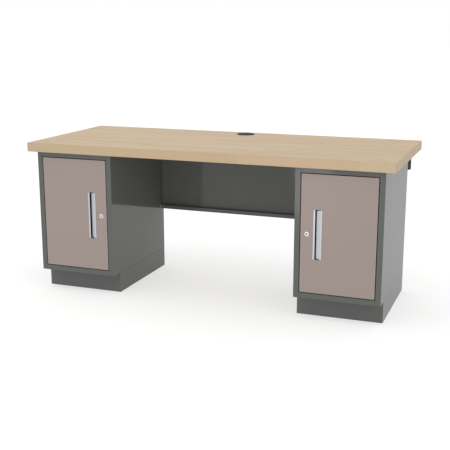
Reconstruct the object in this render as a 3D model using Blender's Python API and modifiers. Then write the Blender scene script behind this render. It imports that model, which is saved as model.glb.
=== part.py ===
"""Teacher desk: a timber worktop carried on two steel pedestals.

Each pedestal is a folded-sheet cabinet on a welded plinth, closed by a door that hangs on two
pivot pins. A door has a long recessed pull and a cam lock, and hides one loose shelf. Between the
pedestals hang a modesty panel and, behind it, a cable trough that a grommet in the worktop feeds.

The frame: X runs along the desk, -Y is the front, Z is up. The origin is on the floor, under the
middle of the worktop. The two pedestals are the same, mirrored about X = 0, apart from the pulls
and locks, which are the same way round on both doors.
"""

import math

import bmesh
import bpy
from mathutils import Vector

# Worktop
DESK_WIDTH = 1.829
DESK_DEPTH = 0.762
DESK_HEIGHT = 0.755
TOP_THICKNESS = 0.0445
END_OVERHANG = 0.0445
FRONT_OVERHANG = 0.022

# Pedestal cabinets
PED_WIDTH = 0.406
PED_DEPTH = 0.609
STILE_WIDTH = 0.0254
RETURN_DEPTH = 0.021
TOP_RAIL_HEIGHT = 0.024
BOTTOM_RAIL_HEIGHT = 0.0254
BACK_FLANGE = 0.015
SHEET = 0.0012

# Plinths
PLINTH_HEIGHT = 0.1015
TOE_RECESS = 0.070
PLINTH_FLANGE = 0.020
PLINTH_SHEET = 0.0015

# Shelves, floors of the cabinets, and the angles that hold the worktop down
TRAY_FLANGE = 0.020
SHELF_HEIGHT = 0.420
SHELF_SETBACK = 0.060
SHELF_PLAY = 0.0015
CLIP_LEG = 0.016
CLIP_LENGTH = 0.025
CLIP_INSET = 0.060
BRACKET_LEG = 0.025
BRACKET_INSET = 0.050

# Doors
DOOR_GAP = 0.004
DOOR_THICKNESS = 0.022
LINER_FLANGE = 0.008
CATCH_WIDTH = 0.012
CATCH_DEPTH = 0.014
CATCH_HEIGHT = 0.030
CATCH_FROM_TOP = 0.060
CATCH_GAP = 0.0008

# Door pivots
PIVOT_FROM_EDGE = 0.010
PIVOT_FROM_FACE = 0.008
PIN_RADIUS = 0.003
PIN_REACH = 0.011
PIN_HEAD_RADIUS = 0.0055
PIN_HEAD = 0.0025
BUSH_WALL = 0.0012
BUSH_REACH = 0.012
BUSH_RIM = 0.003

# Recessed pulls
PULL_WIDTH = 0.040
PULL_HEIGHT = 0.230
PULL_DEPTH = 0.0135
PULL_WALL = 0.0015
PULL_PROUD = 0.0015
PULL_LIP = 0.0085
PULL_REBATE = 0.002
PULL_FLOOR = 0.010
PULL_STEP = 0.005
PULL_EDGE = 0.005
PULL_CAP = 0.002
PULL_FROM_INNER_FACE = 0.1085
PULL_CENTRE_HEIGHT = 0.4055

# Cam locks
LOCK_FROM_INNER_FACE = 0.059
LOCK_CENTRE_HEIGHT = 0.406
LOCK_RADIUS = 0.009
LOCK_RIM_RADIUS = 0.0105
LOCK_PROUD = 0.0018
LOCK_BORE = 0.0065
LOCK_BEHIND_DOOR = 0.0012
PLUG_SETBACK = 0.0005
SPINDLE_RADIUS = 0.004
SPINDLE_BEHIND_CAM = 0.002
KEYWAY_WIDTH = 0.0016
KEYWAY_HEIGHT = 0.007
KEYWAY_DEPTH = 0.010
CAM_THICKNESS = 0.0025
CAM_WIDTH = 0.014
CAM_OVERLAP = 0.0095

# Modesty panel
MODESTY_SETBACK = 0.017
MODESTY_BOTTOM = 0.355
MODESTY_LEDGE = 0.025
MODESTY_LIP = 0.019
MODESTY_END_FLANGE = 0.014
MODESTY_NOTCH = 0.0015

# Cable trough
TROUGH_DEPTH = 0.106
TROUGH_HEIGHT = 0.102
TROUGH_NOTCH = 0.070
TROUGH_FLANGE = 0.012

# Cable grommet
GROMMET_FROM_BACK = 0.079
GROMMET_HOLE = 0.038
GROMMET_FLANGE = 0.0465
GROMMET_PROUD = 0.003
GROMMET_REACH = 0.020
GROMMET_WALL = 0.002
SEAT_WIDTH = 0.002
CAP_RADIUS = 0.0342
CAP_SKIRT = 0.010
NOTCH_WIDTH = 0.018
NOTCH_FROM_CENTRE = 0.016

# Clearances and facets
GAP = 0.0003
CUT_MARGIN = 0.010
MERGE = 0.00001
EDGE_BREAK = 0.4
FINE_SEGMENTS = 48
ROUND_SEGMENTS = 24
PIN_SEGMENTS = 16
ROUND_END_STEPS = 8

# Places worked out from the sizes above
TOP_UNDERSIDE = DESK_HEIGHT - TOP_THICKNESS
OUTER_FACE = DESK_WIDTH / 2 - END_OVERHANG
INNER_FACE = OUTER_FACE - PED_WIDTH
PED_CENTRE = (OUTER_FACE + INNER_FACE) / 2
PED_FRONT = -DESK_DEPTH / 2 + FRONT_OVERHANG
PED_BACK = PED_FRONT + PED_DEPTH
PLINTH_FRONT = PED_FRONT + TOE_RECESS
CASE_BOTTOM = PLINTH_HEIGHT + GAP
CASE_TOP = TOP_UNDERSIDE - GAP
OUTER_WEB = OUTER_FACE - SHEET
INNER_WEB = INNER_FACE + SHEET
OUTER_STILE = OUTER_FACE - STILE_WIDTH
INNER_STILE = INNER_FACE + STILE_WIDTH
BACK_PANEL = PED_BACK - SHEET - GAP
FLOOR_TOP = PLINTH_HEIGHT + BOTTOM_RAIL_HEIGHT
DOOR_HINGE_EDGE = OUTER_STILE - DOOR_GAP
DOOR_FREE_EDGE = INNER_STILE + DOOR_GAP
DOOR_BOTTOM = FLOOR_TOP + DOOR_GAP
DOOR_TOP = TOP_UNDERSIDE - TOP_RAIL_HEIGHT - DOOR_GAP
DOOR_BACK = PED_FRONT + DOOR_THICKNESS
PIVOT_X = DOOR_HINGE_EDGE - PIVOT_FROM_EDGE
PIVOT_Y = PED_FRONT + PIVOT_FROM_FACE
PIN_BORE = PIN_RADIUS + GAP
BUSH_RADIUS = PIN_BORE + BUSH_WALL
PULL_X = INNER_FACE + PULL_FROM_INNER_FACE
LOCK_X = INNER_FACE + LOCK_FROM_INNER_FACE
CAM_FRONT = DOOR_BACK + LOCK_BEHIND_DOOR + GAP
CAM_REACH = LOCK_X - INNER_STILE + CAM_OVERLAP
GROMMET_Y = DESK_DEPTH / 2 - GROMMET_FROM_BACK
SIDES = {"left": -1, "right": 1}

# How a section's two coordinates and its depth map to X, Y, Z
SECTION_AXES = {"X": (1, 2, 0), "Y": (0, 2, 1), "Z": (0, 1, 2)}


# ---------------------------------------------------------------- collections and materials

def clear_scene():
    """Start from an empty scene."""
    for old in list(bpy.data.objects):
        bpy.data.objects.remove(old, do_unlink=True)


def new_collection(name):
    """Add a collection to the scene."""
    collection = bpy.data.collections.new(name)
    bpy.context.scene.collection.children.link(collection)
    return collection


def new_material(name, colour, roughness, metallic=0.0):
    """A Principled material in one colour."""
    material = bpy.data.materials.new(name)
    material.use_nodes = True
    shader = material.node_tree.nodes["Principled BSDF"]
    shader.inputs["Base Color"].default_value = (*colour, 1.0)
    shader.inputs["Roughness"].default_value = roughness
    shader.inputs["Metallic"].default_value = metallic
    material.diffuse_color = (*colour, 1.0)
    return material


clear_scene()
MODEL = new_collection("teacher_desk")
CUTTERS = new_collection("cutters")
MAPLE = new_material("maple", (0.60, 0.48, 0.33), 0.45)
GREY_PAINT = new_material("grey_paint", (0.10, 0.10, 0.10), 0.25)
DOOR_PAINT = new_material("door_paint", (0.31, 0.26, 0.23), 0.35)
ALUMINIUM = new_material("aluminium", (0.70, 0.72, 0.75), 0.30, 1.0)
ZINC = new_material("zinc_plate", (0.62, 0.62, 0.60), 0.35, 1.0)
CHROME = new_material("chrome_plate", (0.80, 0.80, 0.80), 0.12, 1.0)
BLACK_PLASTIC = new_material("black_plastic", (0.02, 0.02, 0.02), 0.45)
NYLON = new_material("nylon", (0.04, 0.04, 0.04), 0.50)


# ---------------------------------------------------------------- building blocks

def add_object(name, mesh_or_bmesh, material, location=(0, 0, 0)):
    """Link a new object for a mesh whose points are measured from LOCATION."""
    mesh = mesh_or_bmesh
    if isinstance(mesh_or_bmesh, bmesh.types.BMesh):
        mesh = bpy.data.meshes.new(name)
        mesh_or_bmesh.to_mesh(mesh)
        mesh_or_bmesh.free()
    mesh.name = name
    mesh.materials.append(material)
    obj = bpy.data.objects.new(name, mesh)
    obj.location = location
    MODEL.objects.link(obj)
    return obj


def add_pivot(name, location, parent=None):
    """An empty that carries what turns, or stands, with it."""
    pivot = bpy.data.objects.new(name, None)
    pivot.empty_display_size = 0.05
    MODEL.objects.link(pivot)
    pivot.location = location
    bpy.context.view_layer.update()
    if parent:
        carry(parent, pivot)
        bpy.context.view_layer.update()
    return pivot


def carry(parent, *children):
    """Parent objects where they stand."""
    for child in children:
        child.parent = parent
        child.matrix_parent_inverse = parent.matrix_world.inverted()


def on_side(side, outline):
    """An outline drawn for the right side, on the given side, with the same hand of travel."""
    if side > 0:
        return outline
    return [(-x, other) for x, other in reversed(outline)]


def across(side, near, far):
    """The X range between two distances from the middle of the desk, on the given side."""
    return tuple(sorted((side * near, side * far)))


def section_vector(axis, first, second, depth=0.0):
    """A vector from coordinates in the section normal to AXIS and along it."""
    values = [0.0, 0.0, 0.0]
    for place, value in zip(SECTION_AXES[axis], (first, second, depth)):
        values[place] = value
    return Vector(values)


def solidify(obj, thickness):
    """Give an open surface its thickness, behind its faces."""
    shell = obj.modifiers.new("thickness", "SOLIDIFY")
    shell.thickness = thickness
    shell.offset = -1.0
    shell.use_even_offset = True
    shell.use_quality_normals = True


def face_outwards(surface, face, outward):
    """Turn all faces of an open surface so that FACE looks along OUTWARD."""
    bmesh.ops.recalc_face_normals(surface, faces=surface.faces[:])
    if face.normal.dot(outward) < 0:
        bmesh.ops.reverse_faces(surface, faces=surface.faces[:])


def sheet_surface(outline, axis, span):
    """The outer faces of a sheet folded along OUTLINE. Metal lies to the left of its travel."""
    surface = bmesh.new()
    corners = [surface.verts.new(section_vector(axis, p, q, span[0])) for p, q in outline]
    edges = [surface.edges.new(pair) for pair in zip(corners, corners[1:])]
    swept = bmesh.ops.extrude_edge_only(surface, edges=edges)["geom"]
    far_side = [item for item in swept if isinstance(item, bmesh.types.BMVert)]
    bmesh.ops.translate(surface, verts=far_side, vec=section_vector(axis, 0, 0, span[1] - span[0]))
    (p0, q0), (p1, q1) = outline[:2]
    face_outwards(surface, edges[0].link_faces[0], section_vector(axis, q1 - q0, p0 - p1))
    return surface


def bent_sheet(name, outline, axis, span, material, thickness=SHEET):
    """A folded sheet with its folds along AXIS, from span[0] to span[1]."""
    obj = add_object(name, sheet_surface(outline, axis, span), material)
    solidify(obj, thickness)
    return obj


def box_bmesh(low, high):
    """A box between two corners, and the point at its centre."""
    low, high = Vector(low), Vector(high)
    box = bmesh.new()
    bmesh.ops.create_cube(box, size=1.0)
    bmesh.ops.scale(box, verts=box.verts[:], vec=high - low)
    return box, (low + high) / 2


def box_object(name, low, high, material):
    """A plain solid box between two corners."""
    box, centre = box_bmesh(low, high)
    return add_object(name, box, material, centre)


def pan(name, low, high, open_side, material):
    """A folded tray with one side left open."""
    box, centre = box_bmesh(low, high)
    box.normal_update()
    lid = [face for face in box.faces if face.normal.dot(Vector(open_side)) > 0.5]
    bmesh.ops.delete(box, geom=lid, context="FACES")
    obj = add_object(name, box, material, centre)
    solidify(obj, SHEET)
    return obj


def as_cutter(obj):
    """Move a helper solid among the cutters."""
    MODEL.objects.unlink(obj)
    CUTTERS.objects.link(obj)
    obj.hide_render = True
    obj.display_type = "WIRE"
    return obj


def box_cutter(name, low, high):
    """A box that cuts."""
    return as_cutter(box_object(name, low, high, GREY_PAINT))


def round_cutter(name, radius, start, end, segments):
    """A cylinder that cuts, between the centres of its two ends."""
    start, end = Vector(start), Vector(end)
    rod = bmesh.new()
    bmesh.ops.create_cone(rod, cap_ends=True, segments=segments, radius1=radius, radius2=radius,
                          depth=(end - start).length)
    turn = (end - start).to_track_quat("Z", "Y").to_matrix()
    bmesh.ops.rotate(rod, verts=rod.verts[:], matrix=turn)
    return as_cutter(add_object(name, rod, GREY_PAINT, (start + end) / 2))


def cut(obj, cutter):
    """Take a cutter's shape out of an object."""
    boolean = obj.modifiers.new("cut_" + cutter.name, "BOOLEAN")
    boolean.operation = "DIFFERENCE"
    boolean.solver = "EXACT"
    boolean.object = cutter


def turned(name, profile, material, location, segments, closed=False, rotation=(0, 0, 0)):
    """A turned piece: radius and height points, running down the outer side."""
    outline = bmesh.new()
    points = [outline.verts.new((radius, 0, height)) for radius, height in profile]
    for pair in zip(points, points[1:]):
        outline.edges.new(pair)
    if closed:
        outline.edges.new((points[-1], points[0]))
    obj = add_object(name, outline, material, location)
    obj.rotation_euler = rotation
    screw = obj.modifiers.new("turn", "SCREW")
    screw.steps = segments
    screw.render_steps = segments
    screw.use_merge_vertices = True
    screw.merge_threshold = MERGE
    screw.use_smooth_shade = True
    return obj


def flat_outline(name, points, thickness, material, location, rotation=(0, 0, 0)):
    """A closed outline given a thickness, half each way, as a welded mesh."""
    curve = bpy.data.curves.new(name, "CURVE")
    curve.dimensions = "2D"
    curve.fill_mode = "BOTH"
    curve.extrude = thickness / 2
    spline = curve.splines.new("POLY")
    spline.points.add(len(points) - 1)
    for point, (x, y) in zip(spline.points, points):
        point.co = (x, y, 0, 1)
    spline.use_cyclic_u = True
    draft = bpy.data.objects.new(name + "_outline", curve)
    MODEL.objects.link(draft)
    bpy.context.view_layer.update()
    evaluated = draft.evaluated_get(bpy.context.evaluated_depsgraph_get())
    solid = bmesh.new()
    solid.from_mesh(bpy.data.meshes.new_from_object(evaluated))
    bmesh.ops.remove_doubles(solid, verts=solid.verts[:], dist=MERGE)
    bmesh.ops.recalc_face_normals(solid, faces=solid.faces[:])
    bpy.data.objects.remove(draft)
    obj = add_object(name, solid, material, location)
    obj.rotation_euler = rotation
    return obj


def arc(centre, radius, start, end):
    """Points along an arc, with its angles in degrees."""
    step = (end - start) / ROUND_END_STEPS
    turns = (math.radians(start + step * count) for count in range(ROUND_END_STEPS + 1))
    return [(centre[0] + radius * math.cos(t), centre[1] + radius * math.sin(t)) for t in turns]


# ---------------------------------------------------------------- worktop and grommet

def build_worktop():
    """Laminated timber slab with a round hole for the cable grommet."""
    low = (-DESK_WIDTH / 2, -DESK_DEPTH / 2, TOP_UNDERSIDE)
    high = (DESK_WIDTH / 2, DESK_DEPTH / 2, DESK_HEIGHT)
    worktop = box_object("worktop", low, high, MAPLE)
    hole = round_cutter("grommet_hole", GROMMET_HOLE, (0, GROMMET_Y, TOP_UNDERSIDE - CUT_MARGIN),
                        (0, GROMMET_Y, DESK_HEIGHT + CUT_MARGIN), FINE_SEGMENTS)
    cut(worktop, hole)


def build_grommet_liner():
    """Flanged sleeve in the worktop, with an inner seat that the cap turns on."""
    barrel = GROMMET_HOLE - GAP
    recess = CAP_RADIUS + GAP
    bore = barrel - GROMMET_WALL
    seat = recess - SEAT_WIDTH
    edge = GROMMET_PROUD * EDGE_BREAK
    profile = [
        (GROMMET_FLANGE - edge, GROMMET_PROUD), (GROMMET_FLANGE, GROMMET_PROUD - edge),
        (GROMMET_FLANGE, GAP), (barrel, GAP), (barrel, -GROMMET_REACH), (bore, -GROMMET_REACH),
        (bore, -SEAT_WIDTH), (seat, -SEAT_WIDTH), (seat, 0), (recess, 0), (recess, GROMMET_PROUD),
    ]
    turned("grommet_liner", profile, BLACK_PLASTIC, (0, GROMMET_Y, DESK_HEIGHT), FINE_SEGMENTS,
           closed=True)


def build_grommet_cap():
    """Round cap with a skirt and a cable notch, free to turn in the liner."""
    skirt = CAP_RADIUS - SEAT_WIDTH
    top = GROMMET_PROUD - GAP
    edge = (top - GAP) * EDGE_BREAK
    profile = [
        (0, top), (CAP_RADIUS - edge, top), (CAP_RADIUS, top - edge), (CAP_RADIUS, GAP),
        (skirt, GAP), (skirt, -CAP_SKIRT), (skirt - GROMMET_WALL, -CAP_SKIRT),
        (skirt - GROMMET_WALL, GAP), (0, GAP),
    ]
    pivot = add_pivot("grommet_pivot", (0, GROMMET_Y, DESK_HEIGHT))
    cap = turned("grommet_cap", profile, BLACK_PLASTIC, pivot.location, FINE_SEGMENTS)
    notch = box_cutter("cable_notch",
                       (-NOTCH_WIDTH / 2, GROMMET_Y + NOTCH_FROM_CENTRE,
                        DESK_HEIGHT - CAP_SKIRT - CUT_MARGIN),
                       (NOTCH_WIDTH / 2, GROMMET_Y + CAP_RADIUS + CUT_MARGIN,
                        DESK_HEIGHT + CUT_MARGIN))
    cut(cap, notch)
    carry(pivot, cap, notch)


# ---------------------------------------------------------------- between the pedestals

def build_modesty_panel():
    """Upright sheet between the pedestals, with a ledge and a lip along its bottom edge."""
    face = PED_BACK - MODESTY_SETBACK
    ledge = face - MODESTY_LEDGE
    reach = INNER_FACE - GAP
    outline = [(face, CASE_TOP), (face, MODESTY_BOTTOM), (ledge, MODESTY_BOTTOM),
               (ledge, MODESTY_BOTTOM - MODESTY_LIP)]
    surface = sheet_surface(outline, "X", (-reach, reach))
    ends = [edge for edge in surface.edges
            if edge.is_boundary and all(abs(v.co.y - face) < MERGE for v in edge.verts)
            and abs(edge.verts[0].co.z - edge.verts[1].co.z) > MERGE]
    for vertex in surface.verts:
        if vertex.co.y < face - MERGE:
            vertex.co.x -= math.copysign(MODESTY_NOTCH, vertex.co.x)
    swept = bmesh.ops.extrude_edge_only(surface, edges=ends)["geom"]
    backs = [item for item in swept if isinstance(item, bmesh.types.BMVert)]
    bmesh.ops.translate(surface, verts=backs, vec=(0, MODESTY_END_FLANGE, 0))
    front = max(surface.faces, key=lambda part: part.calc_area())
    face_outwards(surface, front, Vector((0, -1, 0)))
    solidify(add_object("modesty_panel", surface, GREY_PAINT), SHEET)


def build_cable_trough():
    """Channel under the back of the worktop. Its floor and front wall stop short of its ends."""
    front = PED_BACK + GAP
    back = front + TROUGH_DEPTH
    bottom = CASE_TOP - TROUGH_HEIGHT
    rim = CASE_TOP - SHEET
    outline = [(front, CASE_TOP), (front, bottom), (back, bottom), (back, rim),
               (back + TROUGH_FLANGE, rim)]
    surface = sheet_surface(outline, "X", (-OUTER_FACE, OUTER_FACE))
    for vertex in surface.verts:
        if vertex.co.y < front + MERGE:
            vertex.co.x -= math.copysign(TROUGH_NOTCH, vertex.co.x)
    solidify(add_object("cable_trough", surface, GREY_PAINT), SHEET)


# ---------------------------------------------------------------- pedestal cabinet

def build_case_sides(label, side):
    """Outer and inner walls, each folded into a stile in front and a flange behind."""
    outer = [(OUTER_STILE, PED_FRONT + RETURN_DEPTH), (OUTER_STILE, PED_FRONT),
             (OUTER_FACE, PED_FRONT), (OUTER_FACE, PED_BACK), (OUTER_FACE - BACK_FLANGE, PED_BACK)]
    inner = [(INNER_FACE + BACK_FLANGE, PED_BACK), (INNER_FACE, PED_BACK), (INNER_FACE, PED_FRONT),
             (INNER_STILE, PED_FRONT), (INNER_STILE, PED_FRONT + RETURN_DEPTH)]
    span = (CASE_BOTTOM, CASE_TOP)
    return [bent_sheet(label + "_outer_side", on_side(side, outer), "Z", span, GREY_PAINT),
            bent_sheet(label + "_inner_side", on_side(side, inner), "Z", span, GREY_PAINT)]


def build_case_back(label, side):
    """Back panel, flanged forward at its top and bottom, inside the back flanges of the sides."""
    outline = [(BACK_PANEL - BACK_FLANGE, CASE_BOTTOM), (BACK_PANEL, CASE_BOTTOM),
               (BACK_PANEL, CASE_TOP), (BACK_PANEL - BACK_FLANGE, CASE_TOP)]
    span = across(side, INNER_WEB + GAP, OUTER_WEB - GAP)
    return bent_sheet(label + "_back_panel", outline, "X", span, GREY_PAINT)


def build_rails(label, side, pin_bore):
    """Rails over and under the door, between the stiles, drilled for the pivot pins."""
    behind = PED_FRONT + RETURN_DEPTH
    over_plinth = PLINTH_FRONT + PLINTH_FLANGE
    top_rail_bottom = TOP_UNDERSIDE - TOP_RAIL_HEIGHT
    top = [(behind, CASE_TOP), (PED_FRONT, CASE_TOP), (PED_FRONT, top_rail_bottom),
           (behind, top_rail_bottom)]
    bottom = [(behind, FLOOR_TOP), (PED_FRONT, FLOOR_TOP), (PED_FRONT, CASE_BOTTOM),
              (over_plinth, CASE_BOTTOM)]
    span = across(side, INNER_STILE + GAP, OUTER_STILE - GAP)
    rails = [bent_sheet(label + "_top_rail", top, "X", span, GREY_PAINT),
             bent_sheet(label + "_bottom_rail", bottom, "X", span, GREY_PAINT)]
    for rail in rails:
        cut(rail, pin_bore)
    return rails


def tray_outline(front, back, top):
    """Section of a flat tray with its front and back edges folded down."""
    return [(back, top - TRAY_FLANGE), (back, top), (front, top), (front, top - TRAY_FLANGE)]


def build_trays(label, side):
    """The fixed floor of the cabinet, and the loose shelf."""
    rear = BACK_PANEL - SHEET - GAP
    floor = tray_outline(PED_FRONT + RETURN_DEPTH + GAP, rear, FLOOR_TOP)
    shelf = tray_outline(PED_FRONT + SHELF_SETBACK, rear - SHELF_PLAY, SHELF_HEIGHT)
    floor_span = across(side, INNER_WEB + GAP, OUTER_WEB - GAP)
    shelf_span = across(side, INNER_WEB + SHELF_PLAY, OUTER_WEB - SHELF_PLAY)
    return [bent_sheet(label + "_floor_pan", floor, "X", floor_span, GREY_PAINT),
            bent_sheet(label + "_shelf", shelf, "X", shelf_span, GREY_PAINT)]


def angle_piece(name, side, wall, leg, top, span, material):
    """An angle with one leg against a side wall and the other level at its top."""
    if wall == "outer":
        web = OUTER_WEB - GAP
        outline = [(web, top - leg), (web, top), (web - leg, top)]
    else:
        web = INNER_WEB + GAP
        outline = [(web + leg, top), (web, top), (web, top - leg)]
    return bent_sheet(name, on_side(side, outline), "Y", span, material)


def build_angles(label, side):
    """Four clips under the shelf, and two angles that hold the worktop down."""
    shelf_front = PED_FRONT + SHELF_SETBACK + CLIP_INSET
    shelf_back = BACK_PANEL - CLIP_INSET - CLIP_LENGTH
    shelf_underside = SHELF_HEIGHT - SHEET - GAP
    bracket_span = (PED_FRONT + BRACKET_INSET, BACK_PANEL - BRACKET_INSET)
    pieces = []
    for wall in ("outer", "inner"):
        for place, start in (("front", shelf_front), ("back", shelf_back)):
            name = "_".join((label, "shelf_clip", wall, place))
            pieces.append(angle_piece(name, side, wall, CLIP_LEG, shelf_underside,
                                      (start, start + CLIP_LENGTH), ZINC))
        name = "_".join((label, "worktop_bracket", wall))
        pieces.append(angle_piece(name, side, wall, BRACKET_LEG, CASE_TOP, bracket_span, GREY_PAINT))
    return pieces


def build_plinth(label, side):
    """Welded ring under the cabinet, set back for the toes and flanged inward top and bottom."""
    near, far = across(side, INNER_FACE, OUTER_FACE)
    ring, centre = box_bmesh((near, PLINTH_FRONT, 0), (far, PED_BACK, PLINTH_HEIGHT))
    ring.normal_update()
    lids = [face for face in ring.faces if abs(face.normal.z) > 0.5]
    bmesh.ops.inset_individual(ring, faces=lids, thickness=PLINTH_FLANGE, use_even_offset=True)
    bmesh.ops.delete(ring, geom=lids, context="FACES")
    plinth = add_object(label + "_plinth", ring, GREY_PAINT, centre)
    solidify(plinth, PLINTH_SHEET)
    return plinth


def build_door_catch(label, side):
    """Block on the inner wall that the closed door comes to rest on."""
    near, far = across(side, INNER_WEB + GAP, DOOR_FREE_EDGE + CATCH_WIDTH)
    front = DOOR_BACK + CATCH_GAP
    top = DOOR_TOP - CATCH_FROM_TOP
    return box_object(label + "_door_catch", (near, front, top - CATCH_HEIGHT),
                      (far, front + CATCH_DEPTH, top), BLACK_PLASTIC)


# ---------------------------------------------------------------- door

def build_door_panels(label, side, holes):
    """Front pan, with its edges folded back, and the liner pan that closes it from behind."""
    near, far = across(side, DOOR_FREE_EDGE, DOOR_HINGE_EDGE)
    skin = pan(label + "_door_skin", (near, PED_FRONT, DOOR_BOTTOM), (far, DOOR_BACK, DOOR_TOP),
               (0, 1, 0), DOOR_PAINT)
    inset = SHEET + GAP
    liner = pan(label + "_door_liner",
                (near + inset, DOOR_BACK - LINER_FLANGE, DOOR_BOTTOM + inset),
                (far - inset, DOOR_BACK, DOOR_TOP - inset), (0, -1, 0), DOOR_PAINT)
    for hole in holes:
        cut(skin, hole)
    cut(liner, holes[0])
    return [skin, liner]


def build_hinge(label, side, place):
    """A headed pivot pin in the rail, and the flanged bush in the door's edge that turns on it."""
    edge = DOOR_TOP if place == "top" else DOOR_BOTTOM
    location = (side * PIVOT_X, PIVOT_Y, edge)
    rotation = (0, 0, 0) if place == "top" else (math.pi, 0, 0)
    head = DOOR_GAP + SHEET + GAP
    pin_profile = [(0, head + PIN_HEAD), (PIN_HEAD_RADIUS, head + PIN_HEAD), (PIN_HEAD_RADIUS, head),
                   (PIN_RADIUS, head), (PIN_RADIUS, -PIN_REACH), (0, -PIN_REACH)]
    rim_radius = BUSH_RADIUS + BUSH_RIM
    rim_top = DOOR_GAP - GAP
    bush_profile = [(rim_radius, rim_top), (rim_radius, GAP), (BUSH_RADIUS, GAP),
                    (BUSH_RADIUS, -BUSH_REACH), (PIN_BORE, -BUSH_REACH), (PIN_BORE, rim_top)]
    pin = turned("_".join((label, "hinge_pin", place)), pin_profile, ZINC, location, PIN_SEGMENTS,
                 rotation=rotation)
    bush = turned("_".join((label, "hinge_bush", place)), bush_profile, NYLON, location,
                  PIN_SEGMENTS, closed=True, rotation=rotation)
    return pin, bush


def pull_section():
    """Corner points of the pull's channel, across it and back from the door's face.

    A lip stands over the left of a deep narrow slot. From the slot's other side a shallow plate
    slopes up to the right.
    """
    half = PULL_WIDTH / 2
    front = -PULL_PROUD
    wall = -half + PULL_REBATE
    deep = wall + PULL_WALL + PULL_FLOOR
    shallow = half - PULL_EDGE
    slope = Vector((shallow - deep, front - PULL_STEP)).normalized()
    behind = Vector((-slope.y, slope.x)) * PULL_WALL
    lean = slope.x / slope.y
    return {"half": half, "front": front, "wall": wall, "deep": deep, "shallow": shallow,
            "rear": PULL_DEPTH + PULL_WALL, "lean": lean, "inset": GAP / abs(slope.y),
            "head": shallow + behind.x + lean * (-GAP - front - behind.y),
            "knee": PULL_STEP + behind.y + (PULL_WALL - behind.x) / lean}


def build_pull(label, side):
    """Extruded channel let into the door, closed by a cap at each end."""
    s = pull_section()
    inner_wall = s["wall"] + PULL_WALL
    step_back = s["deep"] + PULL_WALL
    lip = -s["half"] + PULL_LIP
    lip_back = s["front"] + PULL_WALL
    channel = [
        (-s["half"], s["front"]), (lip, s["front"]), (lip, lip_back), (inner_wall, lip_back),
        (inner_wall, PULL_DEPTH), (s["deep"], PULL_DEPTH), (s["deep"], PULL_STEP),
        (s["shallow"], s["front"]), (s["half"], s["front"]), (s["half"], -GAP), (s["head"], -GAP),
        (step_back, s["knee"]), (step_back, s["rear"]), (s["wall"], s["rear"]),
        (s["wall"], -GAP), (-s["half"], -GAP),
    ]
    cap_shallow = s["shallow"] - s["inset"] + s["lean"] * GAP
    cap_step = PULL_STEP + (s["inset"] - GAP) / s["lean"]
    cap = [
        (lip + GAP, s["front"] + GAP), (cap_shallow, s["front"] + GAP),
        (s["deep"] - GAP, cap_step), (s["deep"] - GAP, PULL_DEPTH - GAP),
        (inner_wall + GAP, PULL_DEPTH - GAP), (inner_wall + GAP, lip_back + GAP),
        (lip + GAP, lip_back + GAP),
    ]
    centre = Vector((side * PULL_X, PED_FRONT, PULL_CENTRE_HEIGHT))
    end = Vector((0, 0, (PULL_HEIGHT - PULL_CAP) / 2))
    return [flat_outline(label + "_pull", channel, PULL_HEIGHT, ALUMINIUM, centre),
            flat_outline(label + "_pull_cap_top", cap, PULL_CAP, BLACK_PLASTIC, centre + end),
            flat_outline(label + "_pull_cap_bottom", cap, PULL_CAP, BLACK_PLASTIC, centre - end)]


def pull_cutter(label, side):
    """The pull's window in the door's front."""
    s = pull_section()
    x, half_height = side * PULL_X, PULL_HEIGHT / 2 + GAP
    return box_cutter(label + "_pull_window",
                      (x + s["wall"] - GAP, PED_FRONT - CUT_MARGIN, PULL_CENTRE_HEIGHT - half_height),
                      (x + s["head"] + GAP, PED_FRONT + SHEET + GAP, PULL_CENTRE_HEIGHT + half_height))


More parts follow.
